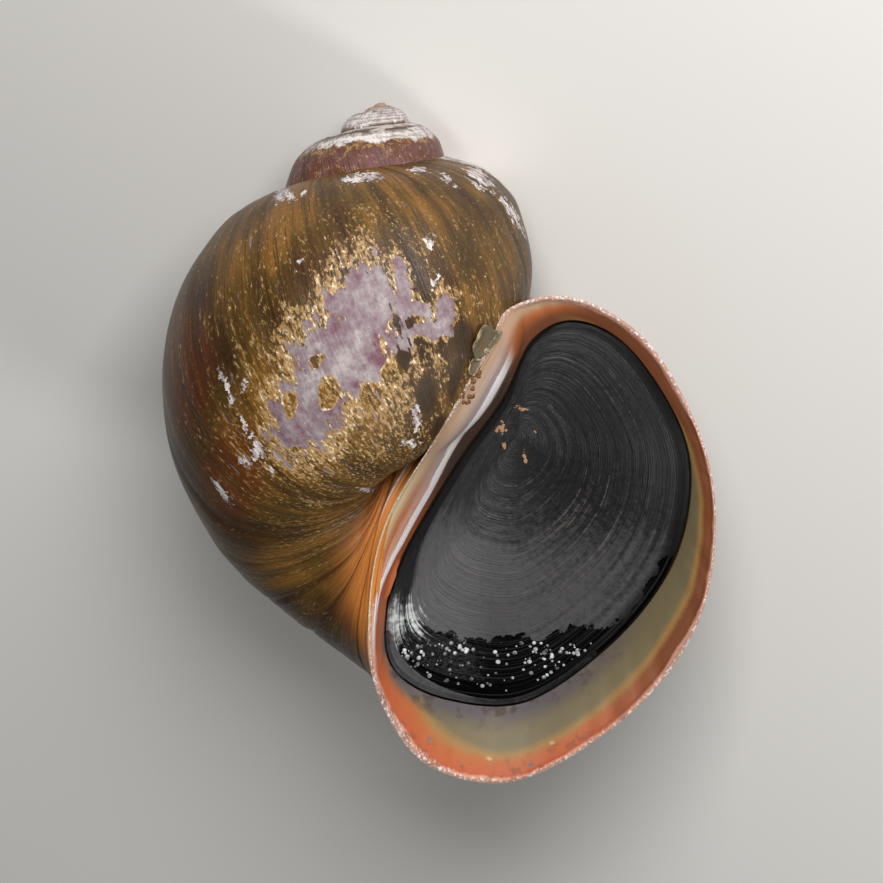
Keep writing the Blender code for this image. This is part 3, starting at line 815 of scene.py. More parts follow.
def skin_wear(tree, field, grain):
    """Give the masks of what has become of the skin: bare, scarred, torn in flecks, eroded."""
    ragged = total(tree, (streaks(tree, 4.0, 1.3, 5.0, 0.65, 21.0), 0.55), (grain.patch, 0.45))
    worn = total(tree, (field.worn, 0.5), (ragged, 1.7), (field.isle, -2.0))
    fringe = product(tree, put(tree, RANGE, {0: worn, 1: 0.5, 2: 0.84}),
                     put(tree, RANGE, {0: worn, 1: 1.0, 2: 0.9}))
    scar = total(tree, (field.scar, 0.5), (grain.chip, 1.6), (grain.torn, 0.4))
    scrape = streaks(tree, 4.5, 0.8, 3.0, 0.55, 31.0)
    patchy = total(tree, (field.gleam, 0.5), (grain.cloud, 0.8))
    scraped = product(tree, put(tree, RANGE, {0: scrape, 1: 0.66, 2: 0.69}),
                      put(tree, RANGE, {0: patchy, 1: 0.5, 2: 0.72}))
    eroded = total(tree, (field.eroded, 0.75), (ragged, 0.35), (grain.patch, 0.35))
    return SimpleNamespace(
        fringe=fringe,
        scar=product(tree, put(tree, RANGE, {0: scar, 1: 1.18, 2: 1.23}),
                     put(tree, RANGE, {0: field.scar, 1: 0.02, 2: 0.12})),
        bare=greatest(tree, put(tree, RANGE, {0: worn, 1: 0.88, 2: 0.92}), scraped),
        fleck=fleck_mask(tree, field, grain, fringe),
        eroded=put(tree, RANGE, {0: eroded, 1: 0.80, 2: 0.86}))


def whole_skin(tree, field, grain, colours):
    """Colour the skin where it is whole, from the darkest growth lines to the thin shoulder."""
    tone = total(tree, (streaks(tree, 60.0, 8.0, 1.0, 0.5, 13.0), 0.2), (grain.cloud, 0.28),
                 (grain.streak, 0.24), (grain.fine, 0.2), (grain.crumb, 0.14),
                 (field.shoulder, 0.05))
    skin = put(tree, RAMP, {"Fac": put(tree, RANGE, {0: tone, 1: 0.4, 2: 0.62})}, stops=(
        (0.0, colours.umber), (0.3, colours.brown), (0.62, colours.olive), (1.0, colours.gold)))
    rust = product(tree, put(tree, RANGE, {0: field.ember, 1: 0.0, 2: 0.6}),
                   put(tree, RANGE, {0: grain.streak, 1: 0.3, 2: 0.55}), 0.8)
    return paint(tree, skin, (
        (product(tree, field.spire, 0.85), colours.maroon),
        (product(tree, field.hem, put(tree, RANGE, {0: grain.patch, 1: 0.4, 2: 0.56}), 0.8),
         colours.mulberry),
        (rust, colours.rust),
        (product(tree, field.funnel,
                 put(tree, RANGE, {0: grain.fine, 1: 0.2, 2: 0.75, 3: 0.5, 4: 1.0})),
         colours.amber),
        (product(tree, put(tree, RANGE, {0: grain.fine, 1: 0.54, 2: 0.64}), 0.7), colours.umber),
        (product(tree, put(tree, RANGE, {0: field.whole, 1: 0.0, 2: 0.35}), 0.75), colours.umber),
        (product(tree, field.rest, 0.7), colours.umber),
    ))


def bare_shell(tree, field, grain, colours):
    """Colour the shell under worn skin, lilac to ash, and the chalk of the eroded spire."""
    lilac = put(tree, RAMP, {"Fac": total(
        tree, (grain.mottle, 0.3), (blotches(tree, 3.4, 3.0), 0.4), (grain.chip, 0.3),
        (field.core, -0.14))}, stops=(
            (0.38, colours.plum), (0.45, colours.lilac), (0.52, colours.pearl),
            (0.6, colours.ash)))
    chalk = put(tree, RAMP, {"Fac": total(
        tree, (streaks(tree, 3.0, 40.0, 2.0, 0.5, 71.0), 0.4), (grain.chip, 0.3),
        (grain.mottle, 0.3), (field.tip, -0.13))}, stops=(
            (0.39, colours.flesh), (0.43, colours.pearl), (0.47, colours.ash),
            (0.54, colours.chalk)))
    return lilac, chalk


def skin_colour(tree, field, grain, wear, colours):
    """Lay flecks, bare shell and the crumbs in the seams over the whole skin."""
    tint = total(tree, (streaks(tree, 0.6, 0.36, 2.0, 0.6, 43.0), 1.0), (wear.fringe, 0.05),
                 (field.gleam, 0.05))
    horn = put(tree, RAMP, {"Fac": tint}, stops=(
        (0.42, colours.bronze), (0.56, colours.straw), (0.64, colours.straw),
        (0.75, colours.spark)))
    lilac, chalk = bare_shell(tree, field, grain, colours)
    pale = put(tree, RANGE, {0: grain.mottle, 1: 0.4, 2: 0.6})
    white = paint(tree, colours.pearl, ((pale, colours.chalk),))
    return paint(tree, whole_skin(tree, field, grain, colours), (
        (wear.fleck, horn),
        (wear.bare, lilac),
        (wear.scar, white),
        (wear.eroded, chalk),
        (product(tree, field.suture, put(tree, RANGE, {0: grain.patch, 1: 0.48, 2: 0.54})),
         colours.brown),
        (product(tree, field.suture, put(tree, RANGE, {0: grain.crumb, 1: 0.56, 2: 0.62})),
         colours.straw),
    ))


def make_skin_material(colours):
    """Horny skin of a grown apple snail, laid down in growth lines and worn through in places.

    It is thin, brown to olive and glossy where whole. Worn places are dull and show the lilac
    shell. Its torn flecks catch the light.
    """
    material, tree, shader = new_material("horny_skin")
    field = read_maps(tree, SKIN_MAPS)
    grain = skin_grain(tree)
    wear = skin_wear(tree, field, grain)
    naked = greatest(tree, wear.bare, wear.eroded, wear.scar)
    height = total(tree, (grain.fine, 0.07), (grain.streak, 0.08), (naked, -0.06),
                   (grain.crumb, 0.09), (grain.mottle, 0.04))
    finish_shader(tree, shader, skin_colour(tree, field, grain, wear, colours), height, total(
        tree, (naked, 0.22), (grain.fine, 0.2), (wear.fleck, -0.04), (1.0, 0.3)))
    shader.inputs["IOR"].default_value = 1.43
    return material


def lip_bands(tree, field, grain, share, colours):
    """Colour the outer lip from its edge inwards: at the foot, the side and the corner."""
    inward = total(tree, (field.edge, 0.1), (grain.cloud, 0.12), (grain.grit, 0.03))
    foot = put(tree, RAMP, {"Fac": inward}, stops=(
        (0.115, colours.rim), (0.135, colours.blush), (0.165, colours.coral),
        (0.34, colours.orange), (0.43, colours.ochre), (0.54, colours.moss)))
    side = put(tree, RAMP, {"Fac": inward}, stops=(
        (0.12, colours.rim), (0.145, colours.blush), (0.18, colours.russet),
        (0.36, colours.russet), (0.46, colours.ochre), (0.56, colours.moss)))
    corner = put(tree, RAMP, {"Fac": total(tree, (share, 1.0), (grain.cloud, 0.2))}, stops=(
        (0.12, colours.rim), (0.36, colours.tan), (0.6, colours.orange), (0.9, colours.russet)))
    return foot, side, corner


def outer_lip(tree, field, grain, share, colours):
    """Lay the shelf, blotches of painted shade towards the operculum's seat, stains and chips over
    the bands of the outer lip.
    """
    foot, side, corner = lip_bands(tree, field, grain, share, colours)
    base, smear = field.base, grain.smear
    shelf = product(tree, put(tree, RANGE, {0: share, 1: 0.62, 2: 0.95}), base,
                    put(tree, RANGE, {0: grain.cloud, 1: 0.2, 2: 0.5}))
    shade_blotches = total(tree, (smear, 1.0), (field.smear, 0.3))
    seat_shade = product(tree, put(tree, RANGE, {0: share, 1: 0.55, 2: 1.0}), base,
                     put(tree, RANGE, {0: shade_blotches, 1: 0.52, 2: 0.74}))
    stain = total(tree, (field.stain, 1.0), (smear, 1.0))
    nick = total(tree, (field.nick, 1.0), (smear, 1.0))
    flush = product(tree, put(tree, RANGE, {0: smear, 1: 0.5, 2: 0.66}), base,
                    put(tree, RANGE, {0: share, 1: 0.4, 2: 0.2}), 0.55)
    speckle = product(tree, put(tree, RANGE, {0: grain.grit, 1: 0.7, 2: 0.78}),
                      put(tree, RANGE, {0: field.edge, 1: 1.0, 2: 2.0}), 0.5)
    return paint(tree, side, (
        (base, foot),
        (shelf, colours.grey_lilac),
        # Painted shade: umber blotches on the wall, darker towards the operculum's seat
        (product(tree, seat_shade, 0.75), colours.umber),
        (put(tree, RANGE, {0: stain, 1: 0.7, 2: 0.95}), colours.slate),
        (put(tree, RANGE, {0: nick, 1: 0.8, 2: 1.2, 3: 0.0, 4: 0.6}), colours.cream),
        (flush, colours.russet),
        (speckle, colours.slate),
        (field.corner, corner),
    ))


def inner_lip(tree, field, grain, colours):
    """Colour the inner lip: pink and cream below, tan and lilac grey above, with a white crest that
    is a painted highlight and, above, an inner side darkened as painted shade.
    """
    across = total(tree, (field.crest, 0.5), (grain.cloud, 0.08), (grain.grit, 0.04),
                   (streaks(tree, 14.0, 5.0, 3.0, 0.65, 81.0), 0.16), (1.0, 0.36))
    # Below, the white crest band is a painted highlight along the ridge
    lower = put(tree, RAMP, {"Fac": across}, stops=(
        (0.1, colours.cream), (0.26, colours.orange), (0.34, colours.blush),
        (0.4, colours.blush), (0.44, colours.crest), (0.54, colours.crest),
        (0.62, colours.coral), (1.0, colours.orange)))
    # Above, the white crest is a painted highlight and the dark inner side beyond it painted shade
    upper = put(tree, RAMP, {"Fac": across}, stops=(
        (0.1, colours.tan), (0.34, colours.dusk), (0.39, colours.dusk), (0.42, colours.crest),
        (0.57, colours.crest), (0.61, colours.tan), (0.66, colours.brown_and_shade), (1.0, colours.brown_and_shade)))
    return paint(tree, lower, ((field.parietal, upper),))


def make_enamel_material(colours):
    """Smooth enamel of the mouth: a pale, granular edge, then coral that fades to cream.

    Shell layers laid in smooth sheets look polished and let a little light into them.
    """
    material, tree, shader = new_material("lip_enamel")
    field = read_maps(tree, LIP_MAPS)
    share = put(tree, "ShaderNodeSeparateXYZ", {0: put(tree, "ShaderNodeUVMap", uv_map="growth")},
                out=1)
    grain = SimpleNamespace(cloud=blotches(tree, 5.0, 3.0), grit=blotches(tree, 0.45, 2.0, 0.6),
                            smear=blotches(tree, 1.6, 3.0, 0.6, 9.0))
    rim = put(tree, RANGE, {0: field.edge, 1: 1.0, 2: 0.3})
    hair = put(tree, RANGE, {0: streaks(tree, 22.0, 2.8, 3.0, 0.6, 83.0), 1: 0.53, 2: 0.62})
    colour = paint(tree, outer_lip(tree, field, grain, share, colours), (
        (field.inner, inner_lip(tree, field, grain, colours)),
        (product(tree, field.inner, hair, 0.5), colours.brown_and_shade),
        # Painted shade: rows beside and behind the operculum are umber, so the gap round it reads
        # dark
        (put(tree, RANGE, {0: share, 1: 1.0, 2: 1.04}), colours.umber),
        (product(tree, rim, put(tree, RANGE, {0: grain.grit, 1: 0.52, 2: 0.62}), 0.6),
         colours.crest),
    ))
    height = total(tree, (product(tree, grain.grit, rim), 0.12), (grain.smear, 0.03),
                   (grain.cloud, 0.06))
    gloss = total(tree, (rim, 0.5), (grain.smear, 0.5))
    gloss = put(tree, RANGE, {0: gloss, 1: 0.1, 2: 0.9, 3: 0.4, 4: 0.6})
    finish_shader(tree, shader, colour, height, total(tree, (gloss, 1.0), (field.base, 0.26)))
    shader.inputs["IOR"].default_value = 1.55
    shader.inputs["Subsurface Weight"].default_value = 0.12
    shader.inputs["Subsurface Radius"].default_value = (1.0, 0.5, 0.3)
    shader.inputs["Subsurface Scale"].default_value = MM
    return material


def colour_setting(name, description, code):
    """Make a setting that holds a colour."""
    return bpy.props.FloatVectorProperty(name=name, description=description, subtype="COLOR",
                                         default=linear(code))


def length_setting(name, description, size):
    """Make a setting that holds a length, given in millimetres."""
    return bpy.props.FloatProperty(name=name, description=description, default=size * MM,
                                   unit="LENGTH", precision=5)


def count_setting(name, description, count):
    """Make a setting that holds a number of things."""
    return bpy.props.IntProperty(name=name, description=description, default=count)


class ShellSettings(bpy.types.PropertyGroup):
    """Sizes and colours of the shell."""

    sides: count_setting("Points round the tube", "Columns of the wrapped sheet", 216)
    ring_step: length_setting("Growth step", "Distance between rows near the mouth", 1.04)
    fold_height: length_setting("Fold height", "Height of the growth folds", 0.16)
    rest_depth: length_setting("Rest depth", "Depth of the grooves where growth rested", 0.22)
    tip_wear: length_setting("Tip wear", "How far the first whorls are worn down", 0.6)
    crest_height: length_setting("Crest height", "Height of the inner lip's crest", 1.4)
    glaze: length_setting("Glaze", "Thickness of the inner lip over the earlier whorl", 0.9)
    umber: colour_setting("Umber", "Darkest brown, in the growth lines", "#2a1a08")
    brown: colour_setting("Brown", "Darker horny skin", "#462b0e")
    olive: colour_setting("Olive", "Main colour of the horny skin", "#4f3a14")
    gold: colour_setting("Gold", "Thinnest, lightest skin", "#7a521a")
    rust: colour_setting("Rust", "Red-brown skin low on the left", "#5e2c0c")
    amber: colour_setting("Amber", "Skin round the umbilicus", "#e08a40")
    bronze: colour_setting("Bronze", "Dullest flecks of torn skin", "#7c5c30")
    straw: colour_setting("Straw", "Torn flecks of skin", "#a58456")
    spark: colour_setting("Spark", "Brightest flecks", "#ead9bc")
    maroon: colour_setting("Maroon", "Skin of the spire", "#62352a")
    mulberry: colour_setting("Mulberry", "Shell showing through the spire's skin", "#6c4646")
    lilac: colour_setting("Lilac", "Shell under worn skin", "#7b656b")
    plum: colour_setting("Plum", "Deepest worn places", "#6c4550")
    pearl: colour_setting("Pearl", "Worn shell, dulled", "#8a7c7e")
    ash: colour_setting("Ash", "Palest streaks of the worn place", "#a59b98")
    chalk: colour_setting("Chalk", "Eroded shell", "#ddd5d1")
    flesh: colour_setting("Flesh", "Pink-brown bands on the apex", "#bb9986")


class LipSettings(bpy.types.PropertyGroup):
    """Colours of the lip."""

    rim: colour_setting("Rim", "Granular edge", "#a98472")
    coral: colour_setting("Coral", "Inside the edge at the foot", "#ac502a")
    orange: colour_setting("Orange", "Deeper band of the lip", "#a85c2c")
    russet: colour_setting("Russet", "Brown side of the lip", "#6e3f24")
    ochre: colour_setting("Ochre", "Where orange fades", "#94703e")
    moss: colour_setting("Moss", "Wall in front of the operculum", "#6d6247")
    grey_lilac: colour_setting("Grey lilac", "Shelf at the base", "#544d50")
    slate: colour_setting("Slate", "Blue-grey specks", "#64616c")
    # Umber: painted shade on the wall below the operculum and in the gap round it
    umber: colour_setting("Umber", "Dark smudges", "#33261a")
    cream: colour_setting("Cream", "Outer border of the inner lip", "#cdb990")
    blush: colour_setting("Blush", "Pink of the inner lip", "#c8917a")
    # Crest: a painted highlight along the inner lip's ridge; the same white marks pale grains on
    # the edge
    crest: colour_setting("Crest", "Ridge of the inner lip", "#f0ecec")
    tan: colour_setting("Tan", "Outer side above", "#a48468")
    dusk: colour_setting("Dusk", "Lilac grey of the inner lip above", "#a1918b")
    # Dark brown of the inner side above, darkened as painted shade where it turns from the light;
    # also its fine streaks
    brown_and_shade: colour_setting("Bole", "Inner side above", "#4c3830")


class SNAIL_OT_make_shell(bpy.types.Operator):
    """Wrap the shell's skin from the apex to the operculum's seat"""

    bl_idname = "snail.make_shell"
    bl_label = "Make the shell"

    def execute(self, context):
        settings = context.scene.snail_shell
        points, levels, maps, inner = shell_rows(settings)
        obj = wrap_sheet("shell_skin", points, levels, maps, inner)
        rest_on_floor(obj)
        materials = (make_skin_material(settings), make_enamel_material(context.scene.snail_lip))
        finish_piece(obj, materials, "shell", *SHELL_NODES)
        return {"FINISHED"}


# The operculum


def horn_rings(tree, swirl):
    """Give the fine and the broad noise of the growth rings, which bend a little."""
    growth = put(tree, "ShaderNodeUVMap", uv_map="growth")
    bend = put(tree, "ShaderNodeCombineXYZ", {1: product(tree, swirl, 0.9)})
    rings = put(tree, "ShaderNodeVectorMath", {0: growth, 1: (4.0, 140.0, 0.0), 2: bend},
                operation="MULTIPLY_ADD")
    line = put(tree, NOISE, {"Vector": rings, "Scale": 1.0, "Detail": 4.0, "Roughness": 0.65})
    return line, put(tree, NOISE, {"Vector": rings, "Scale": 0.22, "Detail": 1.0})


def horn_colour(tree, field, grain, wet, glint_mask, colours):
    """Colour the plate: dark rings, lighter towards the foot as painted sheen, tan specks, the wet
    band and a painted glint.
    """
    line, broad = grain.line, grain.broad
    # Painted sheen: the plate is lighter towards its foot and its left side, where the lamps' sheen
    # falls
    painted_sheen = total(tree, (field.foot, 1.0), (grain.swirl, 0.5))
    painted_sheen = put(tree, RANGE, {0: painted_sheen, 1: 0.35, 2: 1.15})
    tone = total(tree, (line, 0.27), (broad, 0.3), (grain.fine, 0.3), (painted_sheen, 0.3), (1.0, 0.015))
    dry = put(tree, RAMP, {"Fac": tone}, stops=(
        (0.42, colours.black), (0.56, colours.charcoal), (0.76, colours.grey)))
    scratch = product(tree, put(tree, RANGE, {0: line, 1: 0.56, 2: 0.65}),
                      put(tree, RANGE, {0: grain.fine, 1: 0.4, 2: 0.62}),
                      put(tree, RANGE, {0: broad, 1: 0.35, 2: 0.55}))
    chip = blotches(tree, 0.5, 2.0, 0.6, 8.0)
    dot = put(tree, RANGE, {0: total(tree, (field.speck, 0.5), (chip, 1.0)), 1: 0.74, 2: 0.82})
    ripple = put(tree, RANGE, {0: line, 1: 0.5, 2: 0.66, 3: 0.0, 4: 0.4})
    water = paint(tree, colours.wet, ((ripple, colours.grey),))
    return paint(tree, dry, (
        (product(tree, scratch, 0.8), colours.dust),
        # The horn's black edge band, widened beside the inner lip as painted shadow
        (field.margin, colours.black),
        (product(tree, dot, put(tree, RANGE, {0: field.speck, 1: 0.0, 2: 0.15}), 0.9), colours.tan),
        (wet, water),
        # Painted highlight: pale streaks along the rings at the foot's left, in place of the lamps'
        # glint
        (product(tree, glint_mask, put(tree, RANGE, {0: field.painted_glint, 1: 0.0, 2: 0.3})), colours.painted_glint),
    ))


def make_horn_material(colours):
    """Dark horn, grown in rings round a nucleus: satin where dry, black and shiny where wet."""
    material, tree, shader = new_material("operculum_horn")
    field = read_maps(tree, PLATE_MAPS)
    swirl = blotches(tree, 7.0, 2.0)
    line, broad = horn_rings(tree, swirl)
    fine = blotches(tree, 0.7, 3.0, 0.65, 4.0)
    jag = blotches(tree, 1.9, 5.0, 0.6, 2.0)
    ruffled = blotches(tree, 0.9, 4.0, 0.62, 12.0)
    grain = SimpleNamespace(swirl=swirl, line=line, broad=broad, fine=fine)
    wet = put(tree, RANGE, {0: total(tree, (field.wet, 0.5), (jag, 2.6)), 1: 1.27, 2: 1.33})
    dry = total(tree, (wet, -1.0), (1.0, 1.0))
    # Where the painted glint is laid on; it also raises the horn's specular
    glint_mask = total(tree, (field.painted_glint, 0.8), (line, 1.7), (broad, 1.0), (ruffled, 1.0))
    glint_mask = put(tree, RANGE, {0: glint_mask, 1: 2.16, 2: 2.66})
    relief = total(tree, (line, 0.055), (fine, 0.025))
    height = total(tree, (product(tree, relief, dry), 1.0), (line, 0.03),
                   (product(tree, ruffled, wet), 0.2))
    colour = horn_colour(tree, field, grain, wet, glint_mask, colours)
    satin = put(tree, RANGE, {0: fine, 1: 0.3, 2: 0.7, 3: 0.34, 4: 0.42})
    finish_shader(tree, shader, colour, height,
                  total(tree, (wet, -0.3), (line, 0.12), (satin, 1.0)))
    tree.links.new(total(tree, (dry, 0.42), (glint_mask, 0.4), (field.margin, -0.3), (1.0, 0.07)),
                   shader.inputs["Specular IOR Level"])
    shader.inputs["IOR"].default_value = 1.55
    return material


def operculum_rows(settings, places):
    """Give the rings of the horny plate: out over its ridged face, round its edge and back."""
    edge = on_outline(OPERCULUM_OUTLINE, places)
    ridge = settings.ridge_height / MM
    rows, levels = [], []
    for share in np.linspace(0.0, 1.0, settings.rings):
        row = plate_ring(edge, share, 0.0)
        uneven = share + 0.012 * wander(places, 2.0, 23) * (1.0 - np.abs(places / 7.0 - 1.0))
        lines = 0.5 * wander(uneven, 0.022, 21) + 0.5 * wander(uneven, 0.055, 22)
        row[:, 1] += ridge * lines * min(share / 0.1, 1.0) * rise(share, 1.0, 0.97)
        row[:, 1] += PLATE_BEVEL * rise(share, 0.975, 1.0)
        rows.append(row)
        levels.append(share)
    for share, depth in PLATE_BACK:
        rows.append(plate_ring(edge, share, depth))
        levels.append(2.0 - share)
    return np.array(rows), np.array(levels)


def plate_maps(points, levels, places):
    """Give the values that the horn's material reads: wet shore, foot (painted sheen), brim, dark
    edge band (with painted shadow beside the inner lip), specks and painted glint.
    """
    x, z = points[..., 0], points[..., 2]
    shore = WET_LINE + sum(height * rise(x, *span) for height, *span in SHORE_RISES)
    share = np.minimum(levels, 2.0 - levels)[:, None]
    brim = ease((share - 0.972 + 0.03 * rise(places, 7.3, 8.9)) / 0.012)
    brim = brim * window(places, *PLATE_BRIM_SPAN)
    # The horn's dark edge band, widened beside the inner lip as painted shadow where the lip
    # overhangs the plate
    margin = ease((share - 0.9 + 0.16 * window(places, *PLATE_SHADE_SPAN)) / 0.08)
    # Painted sheen: the plate is lightened towards its foot, and more on its left, where the lamps'
    # sheen falls
    foot = rise(z, -42.0, -64.0) * (0.8 + 0.35 * rise(x, 22.0, 6.0))
    return {
        "wet": shore - z - 12.0 * brim,
        "foot": foot * (1.0 - 0.5 * brim),
        "margin": margin * (1.0 - brim),
        "speck": nearest_spot(x, z, SPECKS, True),
        "painted_glint": nearest_spot(x, z, (PAINTED_GLINT_SPOT,), True),
    }


class OperculumSettings(bpy.types.PropertyGroup):
    """Sizes and colours of the operculum."""

    sides: count_setting("Points round the plate", "Columns of the wrapped sheet", 224)
    rings: count_setting("Rings", "Rows between nucleus and edge", 150)
    ridge_height: length_setting("Ridge height", "Height of the growth rings", 0.045)
    # Black: the darkest horn, and the painted shadow beside the inner lip
    black: colour_setting("Black", "Darkest horn", "#09090b")
    charcoal: colour_setting("Charcoal", "Main colour of the horn", "#151517")
    # Grey tops the horn's ramp, reached by its lightest rings and by the painted sheen at the foot
    grey: colour_setting("Grey", "Lightest rings", "#434244")
    dust: colour_setting("Dust", "Brown-grey scratches", "#5f554d")
    tan: colour_setting("Tan", "Specks by the nucleus", "#a8825f")
    wet: colour_setting("Wet", "Wet band at the foot", "#050506")
    # Painted highlight: pale streaks at the foot's left that stand in for the glint of the lamps
    painted_glint: colour_setting("Silver", "Dried slime that shines at the foot", "#b4b8b6")


class SNAIL_OT_make_operculum(bpy.types.Operator):
    """Wrap the ridged horny plate that closes the mouth"""

    bl_idname = "snail.make_operculum"
    bl_label = "Make the operculum"

    def execute(self, context):
        settings = context.scene.snail_operculum
        places = np.linspace(0.0, OUTLINE_POINTS, settings.sides + 1)
        points, levels = operculum_rows(settings, places)
        maps = plate_maps(points, levels, places)
        obj = wrap_sheet("operculum_plate", points, levels, maps)
        finish_piece(obj, (make_horn_material(settings),), "operculum", "operculum")
        return {"FINISHED"}


# Drops on the operculum, and what clings to the shell beside the inner lip


def facing_plate(x, z, reach=0.2):
    """Give the direction out of the operculum's face."""
    slopes = [float(operculum_depth(x + move, z + lift) - operculum_depth(x - move, z - lift))
              / (2.0 * reach) for move, lift in ((reach, 0.0), (0.0, reach))]
    return Vector((slopes[0], -1.0, slopes[1])).normalized()


def add_lump(centre, facing, radius, height, roughness, random):
    """Add a small ball, squashed along a direction and made uneven, at a place on the shell."""
    deselect_all()
    bpy.ops.mesh.primitive_ico_sphere_add(subdivisions=2, radius=1.0)
    lump = bpy.context.object
    for vertex in lump.data.vertices:
        out = vertex.co.normalized() * radius * (1.0 + roughness * random.uniform(-1.0, 1.0))
        out -= facing * out.dot(facing) * (1.0 - height)
        vertex.co = Vector(to_frame(centre + out))
    bpy.ops.object.shade_smooth()
    return lump


def join_pieces(name, pieces):
    """Join pieces into one object."""
    deselect_all()
    for piece in pieces:
        piece.select_set(True)
    bpy.context.view_layer.objects.active = pieces[0]
    bpy.ops.object.join()
    obj = bpy.context.object
    obj.name = name
    obj.data.name = name
    return obj


def make_drop_material(settings):
    """Fluid dried in beads on black horn: small grey pearls, lightened in blotches as painted
    highlight in place of their glints, each with a white glint.
    """
    material, tree, shader = new_material("dried_drops")
    shade = blotches(tree, 1.5, 2.0)
    tint = put(tree, RAMP, {"Fac": shade}, stops=((0.4, settings.deep), (0.62, settings.pale)))
    tree.links.new(tint, shader.inputs["Base Color"])
    shader.inputs["Roughness"].default_value = 0.14
    shader.inputs["IOR"].default_value = 1.5
    return material


class DropSettings(bpy.types.PropertyGroup):
    """Drops on the operculum's wet foot."""

    count: count_setting("Drops", "How many drops", 150)
    radius: length_setting("Drop radius", "Radius of the largest drops", 0.34)
    deep: colour_setting("Deep", "Horn seen through a drop", "#454746")
    # Pale: a painted highlight, the drops lightened in place of their glints
    pale: colour_setting("Pale", "Cloudy drops", "#c2c6c4")


class SNAIL_OT_make_drops(bpy.types.Operator):
    """Set the drops that stand on the wet foot of the operculum"""

    bl_idname = "snail.make_drops"
    bl_label = "Make the drops"

    def execute(self, context):
        settings = context.scene.snail_drop
        random = np.random.default_rng(7)
        drops = []
        while len(drops) < settings.count:
            edge = on_outline(OPERCULUM_OUTLINE, np.array([random.uniform(*DROPS_ALONG)]))
            x, y, z = plate_ring(edge, random.uniform(*DROPS_OUT), 0.0)[0]
            left, right = (1.0 + near_spot(x, z, spot) for spot in (DROPS_LEFT, DROPS_RIGHT))
            if z > WET_LINE - 0.8 or random.uniform() > max(left, right, 0.3) / 2.0:
                continue
            radius = settings.radius / MM * random.uniform(0.3, 1.0) ** 1.5
            drops.append(add_lump(Vector((x, y, z)), facing_plate(x, z), radius, 0.6, 0.0, random))
        obj = join_pieces("operculum_drops", drops)
        finish_piece(obj, (make_drop_material(settings),), "operculum")
        return {"FINISHED"}


def skin_in_front(obj):
    """Make a search tree of the finished skin, in the shell's own frame."""
    points = (mesh_points(obj.data).astype(float) / MM - SHIFT) @ TURN
    faces = [face.vertices[:] for face in obj.data.polygons]
    return BVHTree.FromPolygons([Vector(point) for point in points], faces)


def on_skin(tree, x, z, lift=0.0):
    """Give the point of the skin that faces the camera at x and z, and the direction out of it."""
    place, normal, _, _ = tree.ray_cast(Vector((x, -FAR, z)), Vector((0.0, 1.0, 0.0)))
    return place + normal * lift, normal


def make_film_material(settings):
    """Dried slime and old callus: brittle, glassy flakes, paler where they lift and curl."""
    material, tree, shader = new_material("dried_slime")
    curl = put(tree, MAP, out="Fac", attribute_name="curl")
    shade = total(tree, (blotches(tree, 1.2, 4.0, 0.6, 6.0), 0.4), (curl, 0.6))
    colour = put(tree, RAMP, {"Fac": shade}, stops=(
        (0.3, settings.crumb), (0.4, settings.film), (0.6, settings.film),
        (0.82, settings.film_edge)))
    height = blotches(tree, 0.5, 3.0, 0.6)
    bump = put(tree, "ShaderNodeBump", {"Strength": 0.6, "Distance": MM * 0.1, "Height": height})
    tree.links.new(colour, shader.inputs["Base Color"])
    tree.links.new(bump, shader.inputs["Normal"])
    matt = put(tree, RANGE, {0: height, 1: 0.3, 2: 0.7, 3: 0.3, 4: 0.6})
    tree.links.new(matt, shader.inputs["Roughness"])
    shader.inputs["IOR"].default_value = 1.45
    return material


def flake_place(spot, across, along, seed):
    """Find x, z and curl for a point of a flake, which is uneven and curls up at its rim."""
    middle_x, middle_z, half_width, half_height, tilt = spot
    turned = math.radians(tilt)
    out = max(abs(along), abs(across))
    angle = math.atan2(along, across)
    rounding = 0.25 + 0.75 * out / max(math.hypot(along, across), 0.01)
    uneven = rounding * (1.0 + 0.28 * float(wander(angle + 4.0, 0.6, seed)) * out)
    across, along = across * half_width * uneven, along * half_height * uneven
    x = middle_x + across * math.cos(turned) + along * math.sin(turned)
    z = middle_z - across * math.sin(turned) + along * math.cos(turned)
    curl = float(rise(out, 0.35, 1.0)) * (0.6 + 0.4 * float(wander(angle, 0.7, seed + 1)))
    return x, z, curl


def add_flake(tree, settings, spot, seed):
    """Add a thin flake that lies on the skin."""
    deselect_all()
    bpy.ops.mesh.primitive_grid_add(x_subdivisions=FLAKE_CELLS, y_subdivisions=FLAKE_CELLS,
                                    size=2.0)
    flake = bpy.context.object
    curls = flake.data.attributes.new("curl", "FLOAT", "POINT")
    for vertex in flake.data.vertices:
        x, z, curl = flake_place(spot, vertex.co.x, vertex.co.y, seed)
        point, _ = on_skin(tree, x, z, settings.thickness / MM + settings.curl / MM * curl)
        vertex.co = Vector(to_frame(point))
        curls.data[vertex.index].value = 0.3 + 0.7 * curl
    solid = flake.modifiers.new("thickness", "SOLIDIFY")
    solid.thickness = settings.thickness
    solid.offset = 0.0
    bpy.ops.object.modifier_apply(modifier=solid.name)
    close_seams(40.0)
    return flake


class FlakeSettings(bpy.types.PropertyGroup):
    """Flakes and crumbs that cling beside the inner lip."""

    thickness: length_setting("Thickness", "Thickness of a flake", 0.13)
    curl: length_setting("Curl", "How far a flake's rim stands up", 0.5)
    crumbs: count_setting("Crumbs", "How many crumbs", 26)
    film: colour_setting("Film", "Flat part of a flake", "#5a503c")
    film_edge: colour_setting("Film edge", "Rim of a flake", "#d8c6a4")
    crumb: colour_setting("Crumb", "Brown crumbs", "#6a4424")


